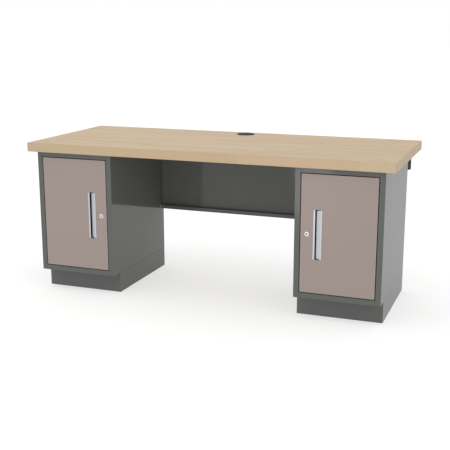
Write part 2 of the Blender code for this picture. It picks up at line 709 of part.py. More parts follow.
def build_lock(label, side, door):
    """Flanged lock body in the door, and the plug and cam that the key turns."""
    centre = Vector((side * LOCK_X, PED_FRONT, LOCK_CENTRE_HEIGHT))
    face_out = (math.pi / 2, 0, 0)
    rear = -(DOOR_THICKNESS + LOCK_BEHIND_DOOR)
    edge = LOCK_PROUD * EDGE_BREAK
    body_profile = [(LOCK_RIM_RADIUS - edge, LOCK_PROUD), (LOCK_RIM_RADIUS, LOCK_PROUD - edge),
                    (LOCK_RIM_RADIUS, GAP), (LOCK_RADIUS, GAP), (LOCK_RADIUS, rear),
                    (LOCK_BORE, rear), (LOCK_BORE, LOCK_PROUD)]
    body = turned(label + "_lock_body", body_profile, CHROME, centre, ROUND_SEGMENTS, closed=True,
                  rotation=face_out)
    plug_radius = LOCK_BORE - GAP
    plug_front = LOCK_PROUD - PLUG_SETBACK
    spindle_end = rear - GAP - CAM_THICKNESS - SPINDLE_BEHIND_CAM
    plug_profile = [(0, plug_front), (plug_radius, plug_front), (plug_radius, rear),
                    (SPINDLE_RADIUS, rear), (SPINDLE_RADIUS, spindle_end), (0, spindle_end)]
    plug = turned(label + "_lock_plug", plug_profile, CHROME, centre, ROUND_SEGMENTS,
                  rotation=face_out)
    keyway = box_cutter(label + "_keyway",
                        centre + Vector((-KEYWAY_WIDTH / 2, -CUT_MARGIN, -KEYWAY_HEIGHT / 2)),
                        centre + Vector((KEYWAY_WIDTH / 2, KEYWAY_DEPTH, KEYWAY_HEIGHT / 2)))
    cut(plug, keyway)
    half = CAM_WIDTH / 2
    cam_outline = arc((0, 0), half, 0, 180) + arc((0, half - CAM_REACH), half, 180, 360)
    cam_middle = CAM_FRONT + CAM_THICKNESS / 2
    cam = flat_outline(label + "_lock_cam", cam_outline, CAM_THICKNESS, ZINC,
                       (centre.x, cam_middle, centre.z), face_out)
    bore = round_cutter(label + "_cam_bore", SPINDLE_RADIUS + GAP,
                        (centre.x, CAM_FRONT - CUT_MARGIN, centre.z),
                        (centre.x, CAM_FRONT + CUT_MARGIN, centre.z), ROUND_SEGMENTS)
    cut(cam, bore)
    pivot = add_pivot(label + "_lock_pivot", centre, door)
    carry(pivot, plug, cam, keyway, bore)
    return body


def build_door(label, side, cabinet):
    """Everything that swings with one door, hung on the axis of its pivot pins."""
    hinge = add_pivot(label + "_door_hinge", (side * PIVOT_X, PIVOT_Y, 0), cabinet)
    lock_hole = round_cutter(label + "_lock_hole", LOCK_RADIUS + GAP,
                             (side * LOCK_X, PED_FRONT - CUT_MARGIN, LOCK_CENTRE_HEIGHT),
                             (side * LOCK_X, DOOR_BACK + CUT_MARGIN, LOCK_CENTRE_HEIGHT),
                             ROUND_SEGMENTS)
    bush_hole = round_cutter(label + "_bush_hole", BUSH_RADIUS + GAP,
                             (side * PIVOT_X, PIVOT_Y, DOOR_BOTTOM - CUT_MARGIN),
                             (side * PIVOT_X, PIVOT_Y, DOOR_TOP + CUT_MARGIN), PIN_SEGMENTS)
    window = pull_cutter(label, side)
    carry(hinge, lock_hole, bush_hole, window)
    carry(hinge, *build_door_panels(label, side, (lock_hole, bush_hole, window)))
    carry(hinge, *build_pull(label, side))
    carry(hinge, build_lock(label, side, hinge))
    for place in ("top", "bottom"):
        pin, bush = build_hinge(label, side, place)
        carry(hinge, bush)
        carry(cabinet, pin)


def build_pedestal(label, side):
    """One cabinet on its plinth, with its door."""
    cabinet = add_pivot(label + "_pedestal", (side * PED_CENTRE, (PED_FRONT + PED_BACK) / 2, 0))
    pin_bore = round_cutter(label + "_pin_bore", PIN_BORE,
                            (side * PIVOT_X, PIVOT_Y, DOOR_BOTTOM - DOOR_GAP - CUT_MARGIN),
                            (side * PIVOT_X, PIVOT_Y, DOOR_TOP + DOOR_GAP + CUT_MARGIN),
                            PIN_SEGMENTS)
    carry(cabinet, pin_bore, build_plinth(label, side), build_case_back(label, side),
          build_door_catch(label, side))
    carry(cabinet, *build_case_sides(label, side), *build_rails(label, side, pin_bore))
    carry(cabinet, *build_trays(label, side), *build_angles(label, side))
    build_door(label, side, cabinet)


def build_desk():
    """The whole desk."""
    build_worktop()
    build_grommet_liner()
    build_grommet_cap()
    build_modesty_panel()
    build_cable_trough()
    for label, side in SIDES.items():
        build_pedestal(label, side)
    bpy.context.view_layer.update()


build_desk()
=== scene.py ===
"""Looks of the teacher desk: its finishes, its fine pieces, the floor, the lights and the camera.

Everything is in metres in the desk's own frame: X runs along the desk, -Y is its front and Z is
up from the floor. Each sub-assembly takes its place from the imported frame, so nothing is fitted
by eye.
"""

import logging
import math
from abc import ABC, abstractmethod
from collections.abc import Iterable, Sequence
from dataclasses import dataclass
from enum import Enum
from functools import cached_property

import bmesh
import bpy
from bmesh.types import BMesh
from bpy.types import Material, Node, NodeSocket, NodeTree
from mathutils import Matrix, Vector


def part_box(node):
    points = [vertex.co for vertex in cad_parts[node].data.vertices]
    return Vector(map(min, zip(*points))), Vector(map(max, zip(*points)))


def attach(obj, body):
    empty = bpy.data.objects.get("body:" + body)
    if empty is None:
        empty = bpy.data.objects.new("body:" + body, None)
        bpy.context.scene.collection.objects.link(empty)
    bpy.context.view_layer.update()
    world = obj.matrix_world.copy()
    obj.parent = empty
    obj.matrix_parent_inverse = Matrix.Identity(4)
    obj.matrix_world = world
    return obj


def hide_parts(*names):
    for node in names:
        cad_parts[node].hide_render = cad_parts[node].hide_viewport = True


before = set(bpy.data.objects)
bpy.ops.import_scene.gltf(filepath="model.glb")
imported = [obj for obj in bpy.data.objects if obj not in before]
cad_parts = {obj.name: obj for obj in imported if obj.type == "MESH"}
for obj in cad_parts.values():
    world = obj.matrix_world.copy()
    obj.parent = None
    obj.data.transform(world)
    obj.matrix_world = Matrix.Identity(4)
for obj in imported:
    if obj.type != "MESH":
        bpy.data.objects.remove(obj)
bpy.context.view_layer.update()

LOG = logging.getLogger("teacher_desk")

SHEET = 0.0012    # thickness of the steel sheet
AIR = 0.0003      # play between two pieces that are fitted together
CONTACT = 0.0001  # play between two pieces that lie on each other
OVERCUT = 0.01    # how far a cutter reaches past what it cuts

MERGE = 1e-6
SHARP_ANGLE = math.radians(40)
FACE_WEIGHT = 100

# Places of the sockets of a Mix node set to colour, whose names repeat
MIX_FACTOR, MIX_A, MIX_B, MIX_RESULT = 0, 6, 7, 2

Outline = Sequence[tuple[float, float]]


class Side(Enum):
    """Which pedestal a piece belongs to, and the sign of its X."""

    LEFT = -1
    RIGHT = 1

    @property
    def label(self) -> str:
        """The word that the pedestal's nodes start with."""
        return self.name.lower()


class Facing(Enum):
    """The way that a turned piece's head points."""

    UP = "up"
    DOWN = "down"
    FRONT = "front"
    BACK = "back"
    LEFT = "left"
    RIGHT = "right"

    @property
    def turn(self) -> Matrix:
        """The rotation that takes +Z to this direction."""
        turns = {
            Facing.UP: Matrix.Identity(4),
            Facing.DOWN: Matrix.Rotation(math.pi, 4, "X"),
            Facing.FRONT: Matrix.Rotation(math.pi / 2, 4, "X"),
            Facing.BACK: Matrix.Rotation(-math.pi / 2, 4, "X"),
            Facing.LEFT: Matrix.Rotation(-math.pi / 2, 4, "Y"),
            Facing.RIGHT: Matrix.Rotation(math.pi / 2, 4, "Y"),
        }
        return turns[self]


class Facets(Enum):
    """How many facets a turned piece has round its axis, which goes by its size."""

    SMALL_HEAD = 24
    NUT_BORE = 32
    LOCK_PLUG = 48
    LOCK_BODY = 64
    GROMMET = 96


# ---------------------------------------------------------------- nodes and colours

def linear(hex_colour: str) -> tuple[float, float, float, float]:
    """Turns an sRGB colour into the linear one that a socket holds.

    Args:
        hex_colour: the colour as #RRGGBB.

    Returns:
        Red, green, blue and an alpha of 1.
    """
    parts = [int(hex_colour[place:place + 2], 16) / 255 for place in (1, 3, 5)]
    red, green, blue = (
        part / 12.92 if part <= 0.04045 else ((part + 0.055) / 1.055) ** 2.4 for part in parts
    )
    return (red, green, blue, 1.0)


def per_metre(size_mm: float) -> float:
    """Gives the texture scale at which one feature is SIZE_MM across."""
    return 1000.0 / size_mm


@dataclass(frozen=True)
class Surface:
    """One material's node tree, with its Principled shader."""

    tree: NodeTree
    shader: Node

    @cached_property
    def coordinates(self) -> Node:
        """The node with the point and the normal, made the first time that a finish asks for it."""
        return self.add("ShaderNodeTexCoord")

    @property
    def place(self) -> NodeSocket:
        """The point on the surface, in the piece's own frame."""
        return self.coordinates.outputs["Object"]

    def add(self, kind: str, inputs: dict[str | int, object] | None = None,
            **settings: object) -> Node:
        """Adds one node with its settings and links.

        Args:
            kind: Blender's name for the node's type.
            inputs: what each input takes, by name or place.
            settings: the node's own settings, by name.

        Returns:
            The new node.
        """
        node = self.tree.nodes.new(kind)
        for name, value in settings.items():
            setattr(node, name, value)
        self.feed(node, inputs or {})
        return node

    def feed(self, node: Node, inputs: dict[str | int, object]) -> None:
        """Gives a node's inputs what they take.

        Args:
            node: the node.
            inputs: another node's output, or a plain value, for each input's name or place.
        """
        for place, value in inputs.items():
            if isinstance(value, NodeSocket):
                self.tree.links.new(value, node.inputs[place])
            else:
                node.inputs[place].default_value = value

    def shade(self, **inputs: object) -> None:
        """Feeds the shader's inputs, whose names are written here with _ for a space."""
        self.feed(self.shader, {name.replace("_", " "): value for name, value in inputs.items()})


# ---------------------------------------------------------------- finishes

@dataclass(frozen=True)
class Finish(ABC):
    """What every finish has: its name, the record's slot that it belongs to and its main colour."""

    name: str
    slot: str
    colour: str
    roughness: float

    @cached_property
    def material(self) -> Material:
        """The finish as a material, made the first time that a piece asks for it."""
        made = bpy.data.materials.new(self.name)
        made.use_nodes = True
        made.diffuse_color = linear(self.colour)
        surface = Surface(made.node_tree, made.node_tree.nodes["Principled BSDF"])
        surface.shade(Roughness=self.roughness)
        self.dress(surface)
        return made

    @abstractmethod
    def dress(self, surface: Surface) -> None:
        """Builds the finish's nodes on a surface.

        Args:
            surface: the surface to dress.
        """

    def tint(self, surface: Surface, factor: NodeSocket, other: str) -> None:
        """Colours a surface between the main colour and another one.

        Args:
            surface: the surface.
            factor: how much of the other colour there is, from 0 to 1.
            other: the other colour, as #RRGGBB.
        """
        mixed = surface.add("ShaderNodeMix", {
            MIX_FACTOR: factor, MIX_A: linear(self.colour), MIX_B: linear(other),
        }, data_type="RGBA")
        surface.shade(Base_Color=mixed.outputs[MIX_RESULT])

    def relief(self, surface: Surface, height: NodeSocket, depth_mm: float) -> None:
        """Gives a surface a bump.

        Args:
            surface: the surface.
            height: the pattern that makes the bump, from 0 to 1.
            depth_mm: how deep the pattern is.
        """
        bump = surface.add("ShaderNodeBump", {
            "Height": height, "Distance": depth_mm / 1000, "Strength": 1.0,
        })
        surface.shade(Normal=bump.outputs["Normal"])

    def vary_roughness(self, surface: Surface, pattern: NodeSocket, share: float) -> None:
        """Lets the roughness follow a pattern.

        Args:
            surface: the surface.
            pattern: a value from 0 to 1, which seldom leaves 0.3 to 0.7.
            share: how far the roughness goes either way, as a share of itself.
        """
        span = surface.add("ShaderNodeMapRange", {
            "Value": pattern,
            "From Min": 0.3,
            "From Max": 0.7,
            "To Min": self.roughness * (1 - share),
            "To Max": self.roughness * (1 + share),
        })
        surface.shade(Roughness=span.outputs["Result"])


@dataclass(frozen=True)
class PowderCoat(Finish):
    """Polyester powder coat, sprayed on steel sheet and cured in an oven.

    It is a smooth, even, hard skin with a clear gloss. Held close it shows orange peel, and over a
    large panel its tone drifts a little with the film's thickness.
    """

    thin_film: str
    ior: float
    peel_mm: float = 2.4
    peel_depth_mm: float = 0.006
    speck_mm: float = 0.9
    speck_share: float = 0.25
    drift_mm: float = 340.0
    drift_share: float = 0.8
    least_thin: float = 0.1
    gloss_drift: float = 0.12

    def dress(self, surface: Surface) -> None:
        """Builds the drift of tone, the specks in the gloss and the orange peel.

        Args:
            surface: the surface to dress.
        """
        surface.shade(IOR=self.ior)
        drift = surface.add("ShaderNodeTexNoise", {
            "Vector": surface.place, "Scale": per_metre(self.drift_mm), "Detail": 2.0,
        })
        speck = surface.add("ShaderNodeTexNoise", {
            "Vector": surface.place, "Scale": per_metre(self.speck_mm), "Detail": 1.0,
        })
        peel = surface.add("ShaderNodeTexNoise", {
            "Vector": surface.place, "Scale": per_metre(self.peel_mm), "Detail": 1.5,
            "Roughness": 0.4,
        })
        tone = surface.add("ShaderNodeMath", {
            0: drift.outputs["Fac"], 1: self.drift_share, 2: self.least_thin,
        }, operation="MULTIPLY_ADD")
        grain = surface.add("ShaderNodeMath", {
            0: speck.outputs["Fac"], 1: self.speck_share, 2: tone.outputs[0],
        }, operation="MULTIPLY_ADD")
        self.tint(surface, grain.outputs[0], self.thin_film)
        self.vary_roughness(surface, speck.outputs["Fac"], self.gloss_drift)
        self.relief(surface, peel.outputs["Fac"], self.peel_depth_mm)


@dataclass(frozen=True)
class ExtrudedAluminium(Finish):
    """Extruded aluminium, etched matt and anodised clear.

    It is a cool pale metal with a soft sheen, and faint lines run the way that it left the die.
    """

    line_colour: str
    line_mm: float = 0.7
    line_run_mm: float = 260.0
    line_depth_mm: float = 0.006
    etch_mm: float = 0.5
    gloss_drift: float = 0.2

    def dress(self, surface: Surface) -> None:
        """Builds the die lines along Z and the fine etch.

        Args:
            surface: the surface to dress.
        """
        surface.shade(Metallic=1.0)
        across = per_metre(self.line_mm)
        drawn = surface.add("ShaderNodeVectorMath", {
            0: surface.place, 1: (across, across, per_metre(self.line_run_mm)),
        }, operation="MULTIPLY")
        lines = surface.add("ShaderNodeTexNoise", {
            "Vector": drawn.outputs[0], "Scale": 1.0, "Detail": 2.0,
        })
        etch = surface.add("ShaderNodeTexNoise", {
            "Vector": surface.place, "Scale": per_metre(self.etch_mm), "Detail": 1.0,
        })
        self.tint(surface, lines.outputs["Fac"], self.line_colour)
        self.vary_roughness(surface, etch.outputs["Fac"], self.gloss_drift)
        self.relief(surface, lines.outputs["Fac"], self.line_depth_mm)


@dataclass(frozen=True)
class PlatedSteel(Finish):
    """Steel with a bright plating: clear-passivated zinc, decorative chrome or satin nickel.

    Zinc is a soft grey metal whose crystals catch the light a little differently from patch to
    patch. Chrome is nearly a mirror, with a faint haze where fingers have been, and nickel is
    warmer and hazier.
    """

    patch_colour: str
    crystal_mm: float
    crystal_share: float
    haze_mm: float = 9.0
    gloss_drift: float = 0.3

    def dress(self, surface: Surface) -> None:
        """Builds the crystals' tone and the haze in the gloss.

        Args:
            surface: the surface to dress.
        """
        surface.shade(Metallic=1.0)
        crystals = surface.add("ShaderNodeTexVoronoi", {
            "Vector": surface.place, "Scale": per_metre(self.crystal_mm),
        })
        haze = surface.add("ShaderNodeTexNoise", {
            "Vector": surface.place, "Scale": per_metre(self.haze_mm), "Detail": 3.0,
        })
        tone = surface.add("ShaderNodeSeparateColor", {"Color": crystals.outputs["Color"]})
        share = surface.add("ShaderNodeMath", {0: tone.outputs[0], 1: self.crystal_share},
                            operation="MULTIPLY")
        self.tint(surface, share.outputs[0], self.patch_colour)
        self.vary_roughness(surface, haze.outputs["Fac"], self.gloss_drift)


@dataclass(frozen=True)
class MouldedPlastic(Finish):
    """Injection-moulded plastic from a spark-eroded mould.

    It is matt and even, with a fine pebbled grain that keeps its highlights broad.
    """

    worn_colour: str
    shine: float
    grain_mm: float = 0.6
    grain_depth_mm: float = 0.03
    gloss_drift: float = 0.15

    def dress(self, surface: Surface) -> None:
        """Builds the pebbled grain, paler on its peaks.

        Args:
            surface: the surface to dress.
        """
        surface.shade(Specular_IOR_Level=self.shine)
        grain = surface.add("ShaderNodeTexNoise", {
            "Vector": surface.place, "Scale": per_metre(self.grain_mm), "Detail": 2.0,
        })
        self.tint(surface, grain.outputs["Fac"], self.worn_colour)
        self.vary_roughness(surface, grain.outputs["Fac"], self.gloss_drift)
        self.relief(surface, grain.outputs["Fac"], self.grain_depth_mm)


@dataclass(frozen=True)
class MapleBlock(Finish):
    """Hard maple butcher block: staves glued side by side, sanded and oiled.

    The eye sees long pale strips that differ a little in tone and warmth, with fine straight grain
    along them, short dark flecks, thin glue lines, and curved growth rings on the sawn ends.
    """

    dark_stave: str
    rosy_stave: str
    late_wood: str
    glue: str
    shine: float = 0.18
    gloss_drift: float = 0.1
    stave_mm: float = 38.0
    length_mm: float = 560.0
    ring_mm: float = 2.6
    late_sharpness: float = 3.0
    late_share: float = 0.42
    heart_nearest: tuple[float, float, float] = (0.0, -0.06, 0.60)
    heart_spread: tuple[float, float, float] = (0.0, 0.16, 0.10)
    wobble_mm: float = 9.0
    wobble_run_mm: float = 420.0
    wobble_across_mm: float = 70.0
    fibre_mm: float = 0.5
    fibre_run_mm: float = 26.0
    fibre_light: float = 0.92
    fleck_mm: float = 1.1
    fleck_run_mm: float = 7.0
    fleck_light: float = 0.95
    glue_mm: float = 0.5
    glue_share: float = 0.5
    glue_depth_mm: float = 0.05
    end_light: float = 0.88

    def dress(self, surface: Surface) -> None:
        """Builds the staves, the rings that run through each one, its fibres and the glue lines.

        Args:
            surface: the surface to dress.
        """
        surface.shade(Specular_IOR_Level=self.shine)
        axes = surface.add("ShaderNodeSeparateXYZ", {"Vector": surface.place})
        rows, row = self.count(surface, axes.outputs["Y"], self.stave_mm)
        row_draw = surface.add("ShaderNodeTexWhiteNoise", {"W": row}, noise_dimensions="1D")
        runs, run = self.count(surface, axes.outputs["X"], self.length_mm,
                               row_draw.outputs["Value"])
        stave = surface.add("ShaderNodeCombineXYZ", {"X": row, "Y": run})
        draw = surface.add("ShaderNodeTexWhiteNoise", {"Vector": stave.outputs[0]},
                           noise_dimensions="3D")
        rings = self.rings(surface, axes, rows, draw.outputs["Color"])
        lined = surface.add("ShaderNodeMix", {
            MIX_FACTOR: rings, MIX_A: self.stave_tone(surface, draw),
            MIX_B: linear(self.late_wood),
        }, data_type="RGBA")
        sawn = self.end_grain(surface, self.flecks(surface, lined.outputs[MIX_RESULT]))
        joint = self.joints(surface, rows, runs)
        glued = surface.add("ShaderNodeMix", {
            MIX_FACTOR: joint, MIX_A: sawn, MIX_B: linear(self.glue),
        }, data_type="RGBA")
        surface.shade(Base_Color=glued.outputs[MIX_RESULT])
        self.vary_roughness(surface, rings, self.gloss_drift)
        sunk = surface.add("ShaderNodeMath", {0: 1.0, 1: joint}, operation="SUBTRACT")
        self.relief(surface, sunk.outputs[0], self.glue_depth_mm)

    def count(self, surface: Surface, along: NodeSocket, size_mm: float,
              offset: NodeSocket | float = 0.0) -> tuple[NodeSocket, NodeSocket]:
        """Counts equal steps along one axis.

        Args:
            surface: the worktop's surface.
            along: the coordinate along that axis.
            size_mm: the length of one step.
            offset: what share of a step the count starts early by.

        Returns:
            The exact count and the whole number of steps.
        """
        steps = surface.add("ShaderNodeMath", {0: along, 1: per_metre(size_mm), 2: offset},
                            operation="MULTIPLY_ADD")
        whole = surface.add("ShaderNodeMath", {0: steps.outputs[0]}, operation="FLOOR")
        return steps.outputs[0], whole.outputs[0]

    def stave_tone(self, surface: Surface, draw: Node) -> NodeSocket:
        """Gives each stave its own tone between pale, dark and rosy.

        Args:
            surface: the worktop's surface.
            draw: the node with each stave's random numbers.

        Returns:
            The stave's colour.
        """
        tone = surface.add("ShaderNodeMix", {
            MIX_FACTOR: draw.outputs["Value"], MIX_A: linear(self.colour),
            MIX_B: linear(self.dark_stave),
        }, data_type="RGBA")
        parts = surface.add("ShaderNodeSeparateColor", {"Color": draw.outputs["Color"]})
        rosy = surface.add("ShaderNodeMapRange", {
            "Value": parts.outputs["Blue"], "From Min": 0.55, "From Max": 1.0, "To Max": 0.9,
        })
        warm = surface.add("ShaderNodeMix", {
            MIX_FACTOR: rosy.outputs["Result"], MIX_A: tone.outputs[MIX_RESULT],
            MIX_B: linear(self.rosy_stave),
        }, data_type="RGBA")
        return warm.outputs[MIX_RESULT]

    def rings(self, surface: Surface, axes: Node, rows: NodeSocket, draw: NodeSocket) -> NodeSocket:
        """Runs growth rings through each stave, round a heart that lies under it or above it.

        Args:
            surface: the worktop's surface.
            axes: the node with the separate coordinates.
            rows: the exact count of staves across the top.
            draw: each stave's random colour.

        Returns:
            How much late wood shows, from 0 to 1.
        """
        within = surface.add("ShaderNodeMath", {0: rows}, operation="FRACT")
        flat = surface.add("ShaderNodeMath", {0: within.outputs[0], 1: self.stave_mm / 1000},
                           operation="MULTIPLY")
        spot = surface.add("ShaderNodeCombineXYZ", {
            "Y": flat.outputs[0], "Z": axes.outputs["Z"],
        })
        heart = surface.add("ShaderNodeVectorMath", {
            0: draw, 1: self.heart_spread, 2: self.heart_nearest,
        }, operation="MULTIPLY_ADD")
        reach = surface.add("ShaderNodeVectorMath", {0: spot.outputs[0], 1: heart.outputs[0]},
                            operation="DISTANCE")
        shifted = surface.add("ShaderNodeVectorMath", {
            0: draw, 1: (7.0, 7.0, 7.0), 2: surface.place,
        }, operation="MULTIPLY_ADD")
        across = per_metre(self.wobble_across_mm)
        stretched = surface.add("ShaderNodeVectorMath", {
            0: shifted.outputs[0], 1: (per_metre(self.wobble_run_mm), across, across),
        }, operation="MULTIPLY")
        wobble = surface.add("ShaderNodeTexNoise", {
            "Vector": stretched.outputs[0], "Scale": 1.0, "Detail": 2.0,
        })
        bent = surface.add("ShaderNodeMath", {
            0: wobble.outputs["Fac"], 1: self.wobble_mm / 1000, 2: reach.outputs["Value"],
        }, operation="MULTIPLY_ADD")
        years, _ = self.count(surface, bent.outputs[0], self.ring_mm)
        season = surface.add("ShaderNodeMath", {0: years}, operation="FRACT")
        late = surface.add("ShaderNodeMath", {0: season.outputs[0], 1: self.late_sharpness},
                           operation="POWER")
        faint = surface.add("ShaderNodeMath", {0: late.outputs[0], 1: self.late_share},
                            operation="MULTIPLY")
        return faint.outputs[0]

    def flecks(self, surface: Surface, colour: NodeSocket) -> NodeSocket:
        """Adds the fine fibres and the short flecks along the grain.

        Args:
            surface: the worktop's surface.
            colour: the wood's colour so far.

        Returns:
            The colour with its fibres.
        """
        for across_mm, along_mm, darkest in (
                (self.fibre_mm, self.fibre_run_mm, self.fibre_light),
                (self.fleck_mm, self.fleck_run_mm, self.fleck_light)):
            across = per_metre(across_mm)
            drawn = surface.add("ShaderNodeVectorMath", {
                0: surface.place, 1: (per_metre(along_mm), across, across),
            }, operation="MULTIPLY")
            lines = surface.add("ShaderNodeTexNoise", {
                "Vector": drawn.outputs[0], "Scale": 1.0, "Detail": 3.0, "Roughness": 0.7,
            })
            light = surface.add("ShaderNodeMapRange", {
                "Value": lines.outputs["Fac"], "From Min": 0.35, "From Max": 0.6,
                "To Min": darkest, "To Max": 1.0,
            })
            shaded = surface.add("ShaderNodeVectorMath", {
                0: colour, "Scale": light.outputs["Result"],
            }, operation="SCALE")
            colour = shaded.outputs[0]
        return colour

    def joints(self, surface: Surface, rows: NodeSocket, runs: NodeSocket) -> NodeSocket:
        """Draws the glue lines beside and at the ends of the staves.

        Args:
            surface: the worktop's surface.
            rows: the exact count of staves across the top.
            runs: the exact count of staves along a row.

        Returns:
            The glue's share on a glue line, and 0 off it.
        """
        lines = []
        for steps, size_mm in ((rows, self.stave_mm), (runs, self.length_mm)):
            near = surface.add("ShaderNodeMath", {0: steps, 1: 0.0, 2: 1.0}, operation="WRAP")
            wall = surface.add("ShaderNodeMath", {0: near.outputs[0], 1: 0.5},
                               operation="SUBTRACT")
            reach = surface.add("ShaderNodeMath", {0: wall.outputs[0]}, operation="ABSOLUTE")
            edge = 0.5 - self.glue_mm / size_mm / 2
            line = surface.add("ShaderNodeMath", {0: reach.outputs[0], 1: edge},
                               operation="GREATER_THAN")
            lines.append(line.outputs[0])
        both = surface.add("ShaderNodeMath", {0: lines[0], 1: lines[1]}, operation="MAXIMUM")
        soft = surface.add("ShaderNodeMath", {0: both.outputs[0], 1: self.glue_share},
                           operation="MULTIPLY")
        return soft.outputs[0]

    def end_grain(self, surface: Surface, colour: NodeSocket) -> NodeSocket:
        """Darkens the sawn ends, which soak up more oil.

        Args:
            surface: the worktop's surface.
            colour: the wood's colour so far.

        Returns:
            The colour, darker where the surface faces along the grain.
        """
        normal = surface.coordinates.outputs["Normal"]
        facing = surface.add("ShaderNodeSeparateXYZ", {"Vector": normal})
        along = surface.add("ShaderNodeMath", {0: facing.outputs["X"]}, operation="ABSOLUTE")
        light = surface.add("ShaderNodeMapRange", {
            "Value": along.outputs[0], "From Min": 0.5, "From Max": 0.9,
            "To Min": 1.0, "To Max": self.end_light,
        })
        shaded = surface.add("ShaderNodeVectorMath", {
            0: colour, "Scale": light.outputs["Result"],
        }, operation="SCALE")
        return shaded.outputs[0]


@dataclass(frozen=True)
class StudioFloor(Finish):
    """Back-lit matt acrylic, the pale glowing floor of a light table.

    It fills the shadows from below, so that only a soft one is left where the desk stands.
    """

    scuff_colour: str
    scuff_mm: float = 700.0
    glow: float = 0.56

    def dress(self, surface: Surface) -> None:
        """Builds a drift of tone too faint to draw the eye, and the light from below.

        Args:
            surface: the surface to dress.
        """
        surface.shade(Specular_IOR_Level=0.0, Emission_Color=linear("#FFFFFF"),
                      Emission_Strength=self.glow)
        drift = surface.add("ShaderNodeTexNoise", {
            "Vector": surface.place, "Scale": per_metre(self.scuff_mm), "Detail": 2.0,
        })
        self.tint(surface, drift.outputs["Fac"], self.scuff_colour)


# Glossy mid-grey enamel of the carcass: its gloss mirrors the white room at flat angles.
CARCASS_COAT = PowderCoat("gloss_powder_coat_slate_grey", "grey_paint", "#585A58", 0.08,
                          thin_film="#5D5F5D", ior=1.36)
# The same enamel on the outer walls and plinths, dulled by cleaning, so it mirrors less sharply.
DULLED_COAT = PowderCoat("dulled_powder_coat_slate_grey", "grey_paint", "#585A58", 0.31,
                         thin_film="#5D5F5D", ior=1.36)
# Warm taupe of the doors, with less gloss, so that it stays even over the whole panel.
DOOR_COAT = PowderCoat("satin_powder_coat_taupe", "door_paint", "#948680", 0.38,
                       thin_film="#978982", ior=1.45)
# Clear-anodised pull: a cool, pale and soft-shining metal.
ANODISED = ExtrudedAluminium("satin_anodised_aluminium", "aluminium", "#C3C6C9", 0.42,
                             line_colour="#BBBEC2")
# Lock face: nearly a mirror.
CHROME = PlatedSteel("bright_chrome_plate", "chrome_plate", "#F0F0EF", 0.14,
                     patch_colour="#E8E9E9", crystal_mm=6.0, crystal_share=0.3)
# Lock plug: darker and hazier than the chrome ring round it.
NICKEL = PlatedSteel("satin_nickel_plate", "chrome_plate", "#A8A6A1", 0.32,
                     patch_colour="#A09E99", crystal_mm=3.0, crystal_share=0.5)
# Hidden fittings: greyer and softer than chrome.
ZINC = PlatedSteel("clear_zinc_plate", "zinc_plate", "#B4B6B4", 0.34,
                   patch_colour="#A3A79F", crystal_mm=2.4, crystal_share=0.8)
# Grommet, pull ends and catches: matt black with a fine grain. It also colours the liner and the
# blade that paint the shade in the pull's slot and in the keyhole.
BLACK_ABS = MouldedPlastic("moulded_black_abs", "black_plastic", "#151514", 0.5,
                           worn_colour="#1D1D1C", shine=0.08)
# Hinge bushes: near black, with the waxy sheen of nylon.
NYLON = MouldedPlastic("moulded_black_nylon", "nylon", "#262625", 0.4,
                       worn_colour="#2E2E2D", shine=0.3)
# Worktop.
MAPLE = MapleBlock("oiled_maple_butcher_block", "maple", "#C9B597", 0.6,
                   dark_stave="#BFAA8C", rosy_stave="#C8A98D", late_wood="#A08967", glue="#937C5B")
# Ground under the desk.
LIT_ACRYLIC = StudioFloor("back_lit_matt_acrylic", "", "#BCBCBB", 0.8, scuff_colour="#B8B8B7")


# ---------------------------------------------------------------- shapes

def arc(radius: float, degrees: Iterable[int]) -> list[tuple[float, float]]:
    """Gives the points at these angles from +X on a circle round the origin."""
    turns = [math.radians(angle) for angle in degrees]
    return [(radius * math.cos(turn), radius * math.sin(turn)) for turn in turns]


def upright(half_width: float, low: float, high: float) -> Outline:
    """Gives the corners of a rectangle that stands in the middle of the Y axis."""
    return [(-half_width, low), (half_width, low), (half_width, high), (-half_width, high)]


def eased(corners: Outline, radius: float, steps: int = 4,
          closed: bool = True) -> list[tuple[float, float]]:
    """Rounds the corners of an outline.

    Args:
        corners: the outline's points.
        radius: how far from a corner its rounding starts, at most.
        steps: how many edges a rounded corner has.
        closed: whether the last point joins the first. An open outline keeps its two end points.

    Returns:
        The rounded outline.
    """
    most = 0.48  # the share of an edge that the rounding at one of its ends may take
    points = [Vector(corner) for corner in corners]
    outline = []
    for place, corner in enumerate(points):
        if not closed and place in (0, len(points) - 1):
            outline.append(tuple(corner))
            continue
        before = points[place - 1] - corner
        after = points[(place + 1) % len(points)] - corner
        reach = min(radius, before.length * most, after.length * most)
        start = corner + before.normalized() * reach
        end = corner + after.normalized() * reach
        for step in range(steps + 1):
            share = step / steps
            bent = start.lerp(corner, share).lerp(corner.lerp(end, share), share)
            outline.append(tuple(bent))
    return outline


def turned(profile: Outline, facets: Facets) -> BMesh:
    """Turns a profile once round Z.

    Args:
        profile: points of (radius, height), from the axis back to the axis, or a closed loop whose
            last point repeats its first.
        facets: how many facets there are round the axis.

    Returns:
        The closed shape.
    """
    shape = bmesh.new()
    points = [shape.verts.new((radius, 0.0, height)) for radius, height in profile]
    edges = [shape.edges.new(pair) for pair in zip(points, points[1:])]
    bmesh.ops.spin(shape, geom=points + edges, cent=(0, 0, 0), axis=(0, 0, 1),
                   angle=2 * math.pi, steps=facets.value)
    return closed_shape(shape)


def rod(radius: float, low: float, high: float, facets: Facets) -> BMesh:
    """Makes a plain round bar along Z, from one height to another."""
    return turned([(0.0, low), (radius, low), (radius, high), (0.0, high)], facets)


